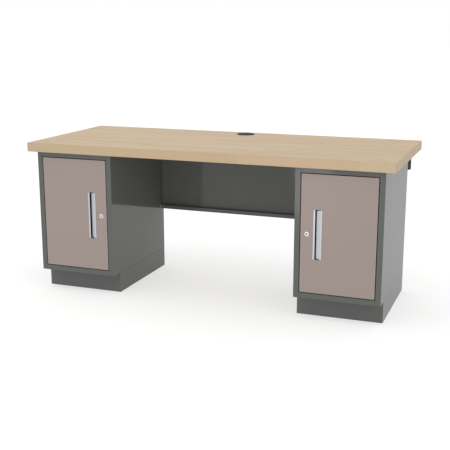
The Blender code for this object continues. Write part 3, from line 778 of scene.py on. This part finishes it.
def closed_shape(shape: BMesh) -> BMesh:
    """Merges a shape's doubled points and turns its faces outward.

    Args:
        shape: the shape, which is changed.

    Returns:
        The same shape.
    """
    bmesh.ops.remove_doubles(shape, verts=shape.verts[:], dist=MERGE)
    bmesh.ops.dissolve_degenerate(shape, edges=shape.edges[:], dist=MERGE)
    bmesh.ops.recalc_face_normals(shape, faces=shape.faces[:])
    return shape


def prism(outline: Outline, low: float, high: float) -> BMesh:
    """Makes a straight bar with the outline as its section.

    Args:
        outline: points of (x, y), all the way round.
        low: the height that it starts at.
        high: the height that it ends at.

    Returns:
        The closed shape.
    """
    shape = bmesh.new()
    base = shape.faces.new([shape.verts.new((x, y, low)) for x, y in outline])
    swept = bmesh.ops.extrude_face_region(shape, geom=[base], use_keep_orig=True)["geom"]
    top = [item for item in swept if isinstance(item, bmesh.types.BMVert)]
    bmesh.ops.translate(shape, verts=top, vec=(0, 0, high - low))
    return closed_shape(shape)


def block(low: Vector, high: Vector, radius: float = 0.0, steps: int = 3) -> BMesh:
    """Makes a box between two corners, with rounded edges.

    Args:
        low: its lowest corner.
        high: its highest corner.
        radius: the rounding of its edges.
        steps: how many facets a rounded edge has.

    Returns:
        The closed shape.
    """
    shape = bmesh.new()
    bmesh.ops.create_cube(shape, size=1.0)
    bmesh.ops.scale(shape, verts=shape.verts[:], vec=high - low)
    bmesh.ops.translate(shape, verts=shape.verts[:], vec=(low + high) / 2)
    if radius:
        bmesh.ops.bevel(shape, geom=shape.edges[:] + shape.verts[:], offset=radius, segments=steps,
                        profile=0.5, affect="EDGES")
    return shape


def placed(shape: BMesh, spot: Vector, facing: Facing = Facing.UP) -> BMesh:
    """Turns a shape made round +Z to face its way, and moves it to its spot."""
    bmesh.ops.transform(shape, matrix=Matrix.Translation(spot) @ facing.turn, verts=shape.verts[:])
    return shape


def joined(shapes: Iterable[BMesh]) -> BMesh:
    """Gathers several shapes into one, which leaves each closed on its own.

    Args:
        shapes: the shapes, which are used up.

    Returns:
        All of them as one shape.
    """
    whole = bmesh.new()
    for shape in shapes:
        part = bpy.data.meshes.new("part")
        shape.to_mesh(part)
        shape.free()
        whole.from_mesh(part)
        bpy.data.meshes.remove(part)
    return whole


def carved(blank: BMesh, cutter: BMesh) -> BMesh:
    """Cuts one closed shape out of another.

    Args:
        blank: the shape that is kept.
        cutter: the shape that is taken out of it.

    Returns:
        What is left.
    """
    drafts = []
    for shape in (blank, cutter):
        mesh = bpy.data.meshes.new("draft")
        shape.to_mesh(mesh)
        shape.free()
        drafts.append(bpy.data.objects.new("draft", mesh))
        bpy.context.scene.collection.objects.link(drafts[-1])
    difference = drafts[0].modifiers.new("cut", "BOOLEAN")
    difference.operation = "DIFFERENCE"
    difference.object = drafts[1]
    bpy.context.view_layer.update()
    left = bmesh.new()
    left.from_object(drafts[0], bpy.context.evaluated_depsgraph_get())
    for draft in drafts:
        mesh = draft.data
        bpy.data.objects.remove(draft)
        bpy.data.meshes.remove(mesh)
    return left


# ---------------------------------------------------------------- pieces

def add_piece(name: str, shape: BMesh, finish: Finish, body: str = "root",
              stands_for: Sequence[str] = ()) -> None:
    """Adds one finished piece to the desk.

    Args:
        name: the piece's name.
        shape: its shape, which is used up.
        finish: its finish.
        body: the moving body that it rides on.
        stands_for: the plain nodes that it is shown in place of.
    """
    mesh = bpy.data.meshes.new(name)
    shape.to_mesh(mesh)
    shape.free()
    mesh.materials.append(finish.material)
    mesh.shade_smooth()
    mesh.set_sharp_from_angle(angle=SHARP_ANGLE)
    piece = bpy.data.objects.new(name, mesh)
    bpy.context.scene.collection.objects.link(piece)
    even = piece.modifiers.new("even_shading", "WEIGHTED_NORMAL")
    even.keep_sharp = True
    even.weight = FACE_WEIGHT
    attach(piece, body)
    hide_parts(*stands_for)
    LOG.info("%s: %s, on %s", name, finish.name, body)


def dress_node(node: str, finish: Finish, fold_mm: float = 0.45) -> None:
    """Gives a node of the frame its finish, and softens its folds and cut edges.

    Args:
        node: the node's name.
        finish: its finish.
        fold_mm: the width of the softening.
    """
    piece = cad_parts[node]
    for slot in piece.material_slots:
        slot.material = finish.material
    if not piece.material_slots:
        piece.data.materials.append(finish.material)
    whole = piece.modifiers.new("joined_faces", "WELD")
    whole.merge_threshold = MERGE
    soft = piece.modifiers.new("soft_edges", "BEVEL")
    soft.width = fold_mm / 1000
    soft.segments = 2
    soft.limit_method = "ANGLE"
    soft.angle_limit = SHARP_ANGLE
    even = piece.modifiers.new("even_shading", "WEIGHTED_NORMAL")
    even.weight = FACE_WEIGHT
    LOG.info("%s: %s", node, finish.name)


def middle(node: str) -> Vector:
    """Gives the centre of a node's box."""
    low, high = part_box(node)
    return (low + high) / 2


@dataclass(frozen=True)
class PanHead:
    """The part of a cross-recess pan-head screw that shows."""

    radius: float = 0.0042
    height: float = 0.0022
    crown_radius: float = 0.0006
    slot_length: float = 0.0044
    slot_width: float = 0.0009
    slot_depth: float = 0.0013

    def shape(self) -> BMesh:
        """Makes the head, sitting on Z = 0 and facing up.

        Returns:
            The closed shape.
        """
        crown = [(0.0, self.height), (self.radius * 0.55, self.height * 0.96),
                 (self.radius * 0.88, self.height * 0.7), (self.radius, self.height * 0.3),
                 (self.radius, 0.0), (0.0, 0.0)]
        half, reach = self.slot_width / 2, self.slot_length / 2
        cross = [(half, half), (reach, half), (reach, -half), (half, -half), (half, -reach),
                 (-half, -reach), (-half, -half), (-reach, -half), (-reach, half), (-half, half),
                 (-half, reach), (half, reach)]
        head = turned(eased(crown, self.crown_radius, 2, closed=False), Facets.SMALL_HEAD)
        return carved(head, prism(cross, self.height - self.slot_depth, self.height * 2))


@dataclass(frozen=True)
class BlindRivet:
    """The part of a blind rivet that shows: a low dome, dimpled where its stem broke off."""

    radius: float = 0.0034
    height: float = 0.0010
    stem: float = 0.0011

    def shape(self) -> BMesh:
        """Makes the head, sitting on Z = 0 and facing up.

        Returns:
            The closed shape.
        """
        dimple = self.height * 0.45
        dome = [(0.0, dimple), (self.stem, dimple), (self.stem, self.height),
                (self.radius * 0.6, self.height * 0.92), (self.radius * 0.92, self.height * 0.5),
                (self.radius, 0.0), (0.0, 0.0)]
        return turned(dome, Facets.SMALL_HEAD)


@dataclass(frozen=True)
class HexNut:
    """A hexagon nut with its corners turned down."""

    radius: float
    height: float
    bore: float

    def shape(self) -> BMesh:
        """Makes the nut, sitting on Z = 0 and facing up.

        Returns:
            The closed shape.
        """
        corners = eased(arc(self.radius, range(0, 360, 60)), self.radius * 0.12, 2)
        hole = rod(self.bore, -self.height, self.height * 2, Facets.NUT_BORE)
        return carved(prism(corners, 0.0, self.height), hole)


def heads(kind: PanHead | BlindRivet, spots: Iterable[Vector], facing: Facing) -> BMesh:
    """Sets one head at each spot.

    Args:
        kind: what the heads are.
        spots: where each one meets the sheet.
        facing: the way that they point.

    Returns:
        All of them as one shape.
    """
    return joined(placed(kind.shape(), spot, facing) for spot in spots)


def spread(first: float, last: float, count: int) -> list[float]:
    """Gives COUNT even places from the first to the last."""
    return [first + (last - first) * step / (count - 1) for step in range(count)]


# ---------------------------------------------------------------- what both pedestals share

@dataclass
class Worktop:
    """The maple slab, with eased edges and a drilled hole for the grommet."""

    edge_radius: float = 0.0020
    hole_radius: float = 0.0380
    drill_reach: float = 1.0

    def build(self) -> None:
        """Makes the slab in place of its plain node."""
        low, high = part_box("worktop")
        slab = block(low, high, self.edge_radius)
        centre = middle("grommet_liner")
        drill = placed(rod(self.hole_radius, -self.drill_reach, self.drill_reach, Facets.GROMMET),
                       Vector((centre.x, centre.y, high.z)))
        add_piece("worktop_slab", carved(slab, drill), MAPLE, stands_for=["worktop"])


@dataclass
class CableGrommet:
    """The moulded sleeve in the worktop, and the round cap that turns in it."""

    flange_lip: float = 0.0010
    wall: float = 0.0020
    cap_radius: float = 0.0342
    cap_edge: float = 0.0007
    seat_width: float = 0.0020
    skirt_wall: float = 0.0020
    notch_width: float = 0.018
    notch_start: float = 0.016
    notch_corner: float = 0.004
    ring_radius: float = 0.0255
    ring_width: float = 0.0016
    ring_depth: float = 0.0006

    def build(self) -> None:
        """Makes the sleeve and the cap in place of their plain nodes."""
        low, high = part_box("grommet_liner")
        _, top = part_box("worktop")
        centre = Vector(((low.x + high.x) / 2, (low.y + high.y) / 2, top.z))
        sleeve = self.sleeve(high.x - centre.x, high.z - top.z, low.z - top.z)
        add_piece("grommet_sleeve", placed(sleeve, centre), BLACK_ABS,
                  stands_for=["grommet_liner"])
        low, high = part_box("grommet_cap")
        cap = self.cap(high.z - top.z, low.z - top.z)
        add_piece("grommet_turning_cap", placed(cap, centre), BLACK_ABS, body="grommet_cap",
                  stands_for=["grommet_cap"])

    def sleeve(self, flange: float, proud: float, bottom: float) -> BMesh:
        """Makes the sleeve, with the worktop's surface at Z = 0.

        Args:
            flange: the radius of its flange.
            proud: how far the flange stands above the worktop.
            bottom: the height that it ends at, below 0.

        Returns:
            The closed shape.
        """
        barrel = Worktop().hole_radius - AIR
        bore = barrel - self.wall
        recess = self.cap_radius + AIR
        seat = recess - self.seat_width
        section = [(flange, proud), (flange, AIR), (barrel, AIR), (barrel, bottom), (bore, bottom),
                   (bore, -self.seat_width), (seat, -self.seat_width), (seat, 0.0), (recess, 0.0),
                   (recess, proud)]
        loop = eased(section, self.flange_lip)
        return turned(loop + loop[:1], Facets.GROMMET)

    def cap(self, top: float, bottom: float) -> BMesh:
        """Makes the cap, with a shallow finger ring and a round-cornered cable notch.

        Args:
            top: the height of its face, with the worktop's surface at 0.
            bottom: the height that its skirt ends at.

        Returns:
            The closed shape.
        """
        skirt = self.cap_radius - self.seat_width
        inside = skirt - self.skirt_wall
        ring_in = self.ring_radius - self.ring_width / 2
        ring_out = self.ring_radius + self.ring_width / 2
        groove = top - self.ring_depth
        section = [(0.0, top), (ring_in, top), (ring_in, groove), (ring_out, groove),
                   (ring_out, top), (self.cap_radius, top), (self.cap_radius, AIR), (skirt, AIR),
                   (skirt, bottom), (inside, bottom), (inside, AIR), (0.0, AIR)]
        disc = turned(eased(section, self.cap_edge, closed=False), Facets.GROMMET)
        past_rim = self.cap_radius * 1.5
        notch = eased(upright(self.notch_width / 2, self.notch_start, past_rim),
                      self.notch_corner, 6)
        return carved(disc, prism(notch, bottom - OVERCUT, top + OVERCUT))


@dataclass
class KneeholeBack:
    """The modesty panel and the cable trough, with the screws that hold them."""

    screw: PanHead = PanHead()
    panel_screws: int = 3
    panel_screw_low: float = 0.08
    panel_screw_high: float = 0.05
    panel_screw_gap: float = 0.002
    trough_screws: int = 5
    trough_screw_end: float = 0.06
    trough_screw_inset: float = 0.006

    def build(self) -> None:
        """Dresses both sheets and adds their screws."""
        dress_node("modesty_panel", CARCASS_COAT)
        dress_node("cable_trough", CARCASS_COAT)
        self.screw_modesty_panel()
        self.screw_trough()

    def screw_modesty_panel(self) -> None:
        """Sets screws through the panel's end flanges into the pedestals."""
        low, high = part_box("modesty_panel")
        y = high.y - self.screw.radius - self.panel_screw_gap
        heights = spread(low.z + self.panel_screw_low, high.z - self.panel_screw_high,
                         self.panel_screws)
        for side, facing in ((Side.LEFT, Facing.RIGHT), (Side.RIGHT, Facing.LEFT)):
            spots = [Vector((side.value * (high.x - SHEET), y, z)) for z in heights]
            add_piece(f"{side.label}_modesty_screws", heads(self.screw, spots, facing), ZINC)

    def screw_trough(self) -> None:
        """Sets screws up through the trough's rear flange into the worktop."""
        low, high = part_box("cable_trough")
        y = high.y - self.trough_screw_inset
        along = spread(low.x + self.trough_screw_end, high.x - self.trough_screw_end,
                       self.trough_screws)
        spots = [Vector((x, y, high.z - SHEET)) for x in along]
        add_piece("trough_screws", heads(self.screw, spots, Facing.DOWN), ZINC)


# ---------------------------------------------------------------- pedestals

@dataclass
class PedestalPart:
    """What a pedestal's sub-assemblies share: the side that starts the name of every piece."""

    side: Side

    def named(self, piece: str) -> str:
        """Puts the side in front of a piece's name."""
        return f"{self.side.label}_{piece}"

    def box(self, node: str) -> tuple[Vector, Vector]:
        """Gives the lowest and highest corners of one of its nodes."""
        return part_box(self.named(node))

    def dress(self, finish: Finish, nodes: Iterable[str], fold_mm: float = 0.45) -> None:
        """Gives each of these nodes its finish and soft edges."""
        for node in nodes:
            dress_node(self.named(node), finish, fold_mm)

    def add(self, piece: str, shape: BMesh, finish: Finish, body: str = "",
            stands_for: str = "") -> None:
        """Adds one of its pieces. Every name goes without its side.

        Args:
            piece: the piece's name.
            shape: its shape, which is used up.
            finish: its finish.
            body: the moving body that it rides on, if any.
            stands_for: the plain node that it is shown in place of, if any.
        """
        add_piece(self.named(piece), shape, finish, self.named(body) if body else "root",
                  [self.named(stands_for)] if stands_for else [])


@dataclass
class Carcass(PedestalPart):
    """One pedestal's folded cabinet on its plinth, with its shelf, clips, brackets and rivets."""

    rivet: BlindRivet = BlindRivet()
    rivet_rows: int = 5
    rivet_end: float = 0.03
    rivet_inset: float = 0.0075
    screw: PanHead = PanHead()
    bracket_screws: int = 3
    bracket_screw_end: float = 0.04
    leaf_screw_inset: float = 0.002
    wall_screw_shift: float = 0.03
    wall_screw_drop: float = 0.003

    def build(self) -> None:
        """Dresses the cabinet's sheets and fittings and adds its fasteners."""
        self.dress(DULLED_COAT, ("outer_side", "plinth"))
        self.dress(CARCASS_COAT, ("inner_side", "back_panel", "top_rail", "bottom_rail",
                                  "floor_pan", "shelf", "worktop_bracket_outer",
                                  "worktop_bracket_inner"))
        self.dress(ZINC, (f"shelf_clip_{wall}_{place}" for wall in ("outer", "inner")
                          for place in ("front", "back")), 0.3)
        self.rivet_back()
        self.screw_brackets()

    def rivet_back(self) -> None:
        """Sets rivets through the sides' rear flanges into the back panel."""
        trough_low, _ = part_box("cable_trough")
        centre = middle(self.named("back_panel")).x
        spots = []
        for wall in ("outer_side", "inner_side"):
            low, high = self.box(wall)
            edge = max(low.x, high.x, key=lambda x: abs(x - centre))
            x = edge + math.copysign(self.rivet_inset, centre - edge)
            heights = spread(low.z + self.rivet_end, trough_low.z - self.rivet_end,
                             self.rivet_rows)
            spots += [Vector((x, high.y, z)) for z in heights]
        self.add("back_rivets", heads(self.rivet, spots, Facing.BACK), CARCASS_COAT)

    def screw_brackets(self) -> None:
        """Sets screws up through the brackets into the worktop, and sideways into the walls."""
        upward, level = [], {Facing.LEFT: [], Facing.RIGHT: []}
        for wall in ("outer", "inner"):
            low, high = self.box(f"worktop_bracket_{wall}")
            centre = (low + high) / 2
            inward = 1 if centre.x < middle(self.named("shelf")).x else -1
            web = low.x + SHEET if inward > 0 else high.x - SHEET
            facing = Facing.RIGHT if inward > 0 else Facing.LEFT
            for y in spread(low.y + self.bracket_screw_end, high.y - self.bracket_screw_end,
                            self.bracket_screws):
                upward.append(Vector((centre.x + inward * self.leaf_screw_inset, y,
                                      high.z - SHEET)))
                level[facing].append(Vector((web, y + self.wall_screw_shift,
                                             centre.z - self.wall_screw_drop)))
        level_heads = [heads(self.screw, spots, facing) for facing, spots in level.items()]
        self.add("bracket_screws", joined([heads(self.screw, upward, Facing.DOWN), *level_heads]),
                 ZINC)


@dataclass
class DoorCatch(PedestalPart):
    """Magnetic catch: a moulded housing with two steel poles, and the plate that they hold."""

    housing_edge: float = 0.0010
    pole_width: float = 0.0022
    pole_inset: float = 0.006
    pole_length: float = 0.011
    pole_sunk: float = 0.001
    plate_thickness: float = 0.0005
    plate_margin: float = 0.002
    plate_end: float = 0.0005
    sheared_edge: float = 0.0001

    def build(self) -> None:
        """Makes the housing and its poles on the cabinet, and the plate on the door."""
        low, high = self.box("door_catch")
        face = low.y + AIR
        housing = block(Vector((low.x, face, low.z)), high, self.housing_edge)
        self.add("catch_housing", housing, BLACK_ABS, stands_for="door_catch")
        outward = self.side.value
        tip = high.x if outward > 0 else low.x
        pole_tip = tip - outward * self.pole_sunk
        poles = []
        for z in (low.z + self.pole_inset, high.z - self.pole_inset):
            near, far = sorted((pole_tip - outward * self.pole_length, pole_tip))
            poles.append(block(Vector((near, low.y + CONTACT, z - self.pole_width / 2)),
                               Vector((far, face + self.pole_sunk, z + self.pole_width / 2)),
                               self.sheared_edge, 1))
        self.add("catch_poles", joined(poles), ZINC)
        liner_low, liner_high = self.box("door_liner")
        door_edge = liner_low.x if outward > 0 else liner_high.x
        near, far = sorted((door_edge + outward * self.plate_end, tip - outward * self.plate_end))
        back = liner_high.y + CONTACT / 2
        plate = block(Vector((near, back, low.z + self.plate_margin)),
                      Vector((far, back + self.plate_thickness, high.z - self.plate_margin)),
                      self.sheared_edge, 1)
        self.add("catch_plate", plate, ZINC, body="door")


@dataclass
class RecessedPull(PedestalPart):
    """The door's pull: an extruded channel, a black liner that paints the shade in its deep slot,
    and its two moulded ends.
    """

    wall: float = 0.0015
    proud: float = 0.0015
    lip: float = 0.0085
    rebate: float = 0.0020
    floor: float = 0.0100
    step: float = 0.0050
    flange: float = 0.0050
    edge_radius: float = 0.0004
    liner: float = 0.0006
    liner_top: float = 0.0030

    def __post_init__(self) -> None:
        """Takes the channel's place and its outer sizes from its plain node."""
        self.low, self.high = self.box("pull")
        self.half = (self.high.x - self.low.x) / 2
        self.depth = self.high.y - self.low.y - self.proud - self.wall

    def build(self) -> None:
        """Makes the channel, the liner and the ends in place of their plain nodes."""
        self.add("pull_channel", self.bar(self.channel(), self.low.z, self.high.z), ANODISED,
                 "door", "pull")
        caps = {place: self.box(f"pull_cap_{place}") for place in ("bottom", "top")}
        # The black liner paints the shade in the pull's deep slot.
        shade_liner = self.bar(self.shade_liner(), caps["bottom"][1].z + AIR, caps["top"][0].z - AIR)
        self.add("pull_painted_shade_liner", shade_liner, BLACK_ABS, "door")
        for place, (low, high) in caps.items():
            self.add(f"pull_end_{place}", self.bar(self.end(), low.z, high.z), BLACK_ABS, "door",
                     f"pull_cap_{place}")

    def bar(self, section: Outline, low: float, high: float) -> BMesh:
        """Makes a bar whose section is given from the channel's middle and the door's face.

        Args:
            section: points of (across, back from the face).
            low: the height that the bar starts at.
            high: the height that it ends at.

        Returns:
            The closed shape, in its place.
        """
        spot = Vector(((self.low.x + self.high.x) / 2, self.low.y + self.proud, 0.0))
        return placed(prism(eased(section, self.edge_radius, 3), low, high), spot)

    @property
    def inner(self) -> float:
        """Where the slot's left wall stands."""
        return -self.half + self.rebate + self.wall

    @property
    def deep(self) -> float:
        """Where the slot's floor ends and its right wall rises."""
        return self.inner + self.floor

    @property
    def slope(self) -> Vector:
        """The direction of the sloping plate, from the slot to the flange."""
        return Vector((self.half - self.flange - self.deep, -self.proud - self.step)).normalized()

    def channel(self) -> Outline:
        """Gives the channel's section: a lip, a deep slot, a shallow sloping plate and a flange.

        Returns:
            Points of (across, back from the face).
        """
        outer = self.inner - self.wall
        tip = -self.half + self.lip
        shallow = self.half - self.flange
        rear = self.depth + self.wall
        across, back = self.slope
        behind = Vector((-back, across)) * self.wall
        lean = across / back
        step_back = self.deep + self.wall
        knee = self.step + behind.y + (self.wall - behind.x) / lean
        head = shallow + behind.x + lean * (self.proud - AIR - behind.y)
        return [(-self.half, -self.proud), (tip, -self.proud), (tip, self.wall - self.proud),
                (self.inner, self.wall - self.proud), (self.inner, self.depth),
                (self.deep, self.depth), (self.deep, self.step), (shallow, -self.proud),
                (self.half, -self.proud), (self.half, -AIR), (head, -AIR), (step_back, knee),
                (step_back, rear), (outer, rear), (outer, -AIR), (-self.half, -AIR)]

    def shade_liner(self) -> Outline:
        """Gives the section of the black liner, a thin trough in the slot that paints the shade
        there.

        Returns:
            Points of (across, back from the face).
        """
        near, far = self.inner + AIR / 3, self.deep - AIR / 3
        floor = self.depth - AIR / 3
        far_top = self.step + self.liner
        return [(near, self.liner_top), (near + self.liner, self.liner_top),
                (near + self.liner, floor - self.liner), (far - self.liner, floor - self.liner),
                (far - self.liner, far_top), (far, far_top), (far, floor), (near, floor)]

    def end(self) -> Outline:
        """Gives the outline of a moulded end, which fills the channel's mouth.

        Returns:
            Points of (across, back from the face).
        """
        near, far = self.inner + AIR, self.deep - AIR
        tip = -self.half + self.lip + AIR
        under_lip = self.wall - self.proud + AIR
        across, back = self.slope
        inset = AIR / abs(back)
        lean = across / back
        shallow = self.half - self.flange - inset + lean * AIR
        return [(tip, -self.proud + AIR), (shallow, -self.proud + AIR),
                (far, self.step + (inset - AIR) / lean), (far, self.depth - AIR),
                (near, self.depth - AIR), (near, under_lip), (tip, under_lip)]


@dataclass
class CamLock(PedestalPart):
    """The cam lock: a chromed body in the door, and the plug and cam that the key turns."""

    rim_proud: float = 0.0018
    rim_edge_share: float = 0.35
    dish_width: float = 0.0016
    mouth_width: float = 0.0006
    mouth_share: float = 0.9
    bore: float = 0.0065
    body_radius: float = 0.0090
    body_edge: float = 0.0005
    plug_setback: float = 0.0005
    plug_edge: float = 0.0004
    spindle_radius: float = 0.0040
    keyway_width: float = 0.0018
    keyway_height: float = 0.0072
    keyway_depth: float = 0.010
    # A black blade in the keyway paints the shade in the keyhole: its sizes as shares of the
    # keyway's, and how far back it sits.
    shade_blade_share: tuple[float, float, float] = (0.9, 0.96, 0.9)  # of the keyway's sizes
    shade_blade_setback: float = 0.0006
    nut: HexNut = HexNut(0.0068, 0.0017, 0.0043)
    clip_thickness: float = 0.0009
    clip_play: float = 0.0002
    clip_leg: float = 0.0145
    clip_radius: float = 0.0150
    clip_facet: int = 12

    def __post_init__(self) -> None:
        """Takes the lock's place and its outer sizes from the body's plain node."""
        low, high = self.box("lock_body")
        self.face = middle(self.named("lock_body"))
        self.face.y = low.y + self.rim_proud
        self.rim = (high.x - low.x) / 2
        self.rear = -(high.y - self.face.y)

    def build(self) -> None:
        """Makes the lock's pieces in place of their plain nodes."""
        self.build_body()
        self.build_plug()
        self.build_clip()
        self.dress(ZINC, ["lock_cam"], 0.3)

    def build_body(self) -> None:
        """Makes the body: a dished rim, and a threaded barrel behind it."""
        section = [(self.rim, self.rim_proud * self.rim_edge_share), (self.rim, AIR),
                   (self.body_radius, AIR), (self.body_radius, self.rear), (self.bore, self.rear),
                   (self.bore, self.rim_proud * self.mouth_share),
                   (self.bore + self.mouth_width, self.rim_proud),
                   (self.rim - self.dish_width, self.rim_proud)]
        loop = eased(section, self.body_edge)
        body = placed(turned(loop + loop[:1], Facets.LOCK_BODY), self.face, Facing.FRONT)
        self.add("lock_barrel", body, CHROME, "door", "lock_body")

    def build_plug(self) -> None:
        """Makes the plug with its keyway, the black blade that fills the keyway as painted shade of
        the keyhole, and the nut on its spindle.
        """
        radius = self.bore - AIR
        front = self.rim_proud - self.plug_setback
        _, plug_high = self.box("lock_plug")
        end = self.face.y - plug_high.y
        section = [(0.0, front), (radius, front), (radius, self.rear),
                   (self.spindle_radius, self.rear), (self.spindle_radius, end), (0.0, end)]
        plug = turned(eased(section, self.plug_edge, closed=False), Facets.LOCK_PLUG)
        half_width, half_height = self.keyway_width / 2, self.keyway_height / 2
        slot = eased(upright(half_width, -half_height, half_height), half_width, 3)
        plug = carved(plug, prism(slot, front - self.keyway_depth, front + OVERCUT))
        self.add("lock_core", placed(plug, self.face, Facing.FRONT), NICKEL, "lock", "lock_plug")
        # Painted shade: a black blade fills the keyway so that the keyhole reads dark.
        across, up, inward = self.shade_blade_share
        shade_blade = prism([(x * across, y * up) for x, y in slot],
                        front - self.keyway_depth * inward, front - self.shade_blade_setback)
        self.add("keyway_painted_shade", placed(shade_blade, self.face, Facing.FRONT), BLACK_ABS, "lock")
        _, cam_high = self.box("lock_cam")
        behind_cam = Vector((self.face.x, cam_high.y + CONTACT, self.face.z))
        self.add("cam_nut", placed(self.nut.shape(), behind_cam, Facing.BACK), ZINC, "lock")

    def build_clip(self) -> None:
        """Makes the spring clip that holds the body against the back of the door."""
        _, liner_high = self.box("door_liner")
        leg, crown = self.body_radius + self.clip_play, self.clip_radius
        arch = arc(crown, range(0, 181, self.clip_facet))
        hollow = arc(leg, range(180, -1, -self.clip_facet))
        outline = [*arch, (-crown, -self.clip_leg), (-leg, -self.clip_leg), *hollow,
                   (leg, -self.clip_leg), (crown, -self.clip_leg)]
        spot = Vector((self.face.x, liner_high.y + CONTACT, self.face.z))
        clip = placed(prism(outline, 0.0, self.clip_thickness), spot, Facing.BACK)
        self.add("lock_clip", clip, ZINC, "door")


@dataclass
class Door(PedestalPart):
    """One door: its two pans, the pull, the lock, the catch and the pivots."""

    def build(self) -> None:
        """Dresses the pans and the pivots, and builds what is set in the door."""
        self.dress(DOOR_COAT, ["door_skin"], 0.55)
        self.dress(DOOR_COAT, ["door_liner"])
        for place in ("top", "bottom"):
            self.dress(ZINC, [f"hinge_pin_{place}"], 0.3)
            self.dress(NYLON, [f"hinge_bush_{place}"], 0.2)
        RecessedPull(self.side).build()
        CamLock(self.side).build()
        DoorCatch(self.side).build()


# ---------------------------------------------------------------- studio

@dataclass(frozen=True)
class SoftLight:
    """A square soft light that is turned towards the desk."""

    name: str
    place: tuple[float, float, float]
    size: float
    power: float
    aim: tuple[float, float, float] = (0.0, 0.0, 0.4)

    def hang(self) -> None:
        """Hangs the light in the room, out of the camera's sight."""
        lamp = bpy.data.lights.new(self.name, "AREA")
        lamp.size = self.size
        lamp.energy = self.power
        light = bpy.data.objects.new(self.name, lamp)
        light.location = self.place
        light.visible_camera = False
        beam = Vector(self.aim) - Vector(self.place)
        light.rotation_euler = beam.to_track_quat("-Z", "Y").to_euler()
        bpy.context.scene.collection.objects.link(light)


@dataclass
class Studio:
    """The pale floor, the white room, its soft lights and the camera."""

    floor_half: float = 40.0
    room_white: str = "#FFFFFF"
    lights: tuple[SoftLight, ...] = (
        SoftLight("soft_top", (-0.3, -0.9, 3.2), size=3.0, power=12.0),
        SoftLight("low_fill", (-0.2, -2.6, 0.3), size=0.6, power=2.4),
    )
    camera_place: tuple[float, float, float] = (1.49819, -4.01198, 1.34222)
    camera_down: float = 13.363
    camera_left: float = 20.548
    camera_sight: float = 200.0
    lens_mm: float = 68.656
    sensor_mm: float = 36.0

    def build(self) -> None:
        """Sets up the whole studio."""
        self.build_floor()
        self.whiten_room()
        for light in self.lights:
            light.hang()
        self.set_camera()

    def build_floor(self) -> None:
        """Lays the floor."""
        sheet = bmesh.new()
        bmesh.ops.create_grid(sheet, x_segments=1, y_segments=1, size=self.floor_half)
        mesh = bpy.data.meshes.new("studio_floor")
        sheet.to_mesh(mesh)
        sheet.free()
        mesh.materials.append(LIT_ACRYLIC.material)
        floor = bpy.data.objects.new("studio_floor", mesh)
        bpy.context.scene.collection.objects.link(floor)

    def whiten_room(self) -> None:
        """Makes the room evenly white."""
        world = bpy.data.worlds.new("white_room")
        world.use_nodes = True
        sky = world.node_tree.nodes["Background"]
        sky.inputs["Color"].default_value = linear(self.room_white)
        sky.inputs["Strength"].default_value = 1.0
        bpy.context.scene.world = world

    def set_camera(self) -> None:
        """Sets the camera before the desk's right front corner, looking a little down."""
        lens = bpy.data.cameras.new("studio_camera")
        lens.lens = self.lens_mm
        lens.sensor_width = self.sensor_mm
        lens.clip_end = self.camera_sight
        camera = bpy.data.objects.new("studio_camera", lens)
        camera.location = self.camera_place
        camera.rotation_euler = (math.radians(90 - self.camera_down), 0.0,
                                 math.radians(self.camera_left))
        bpy.context.scene.collection.objects.link(camera)
        bpy.context.scene.camera = camera
        bpy.context.scene.view_settings.view_transform = "Standard"


def main() -> None:
    """Builds the studio and then the desk."""
    logging.basicConfig(level=logging.INFO, format="%(name)s: %(message)s")
    Studio().build()
    Worktop().build()
    CableGrommet().build()
    KneeholeBack().build()
    for side in Side:
        Carcass(side).build()
        Door(side).build()
    bpy.context.view_layer.update()


if __name__ == "__main__":
    main()
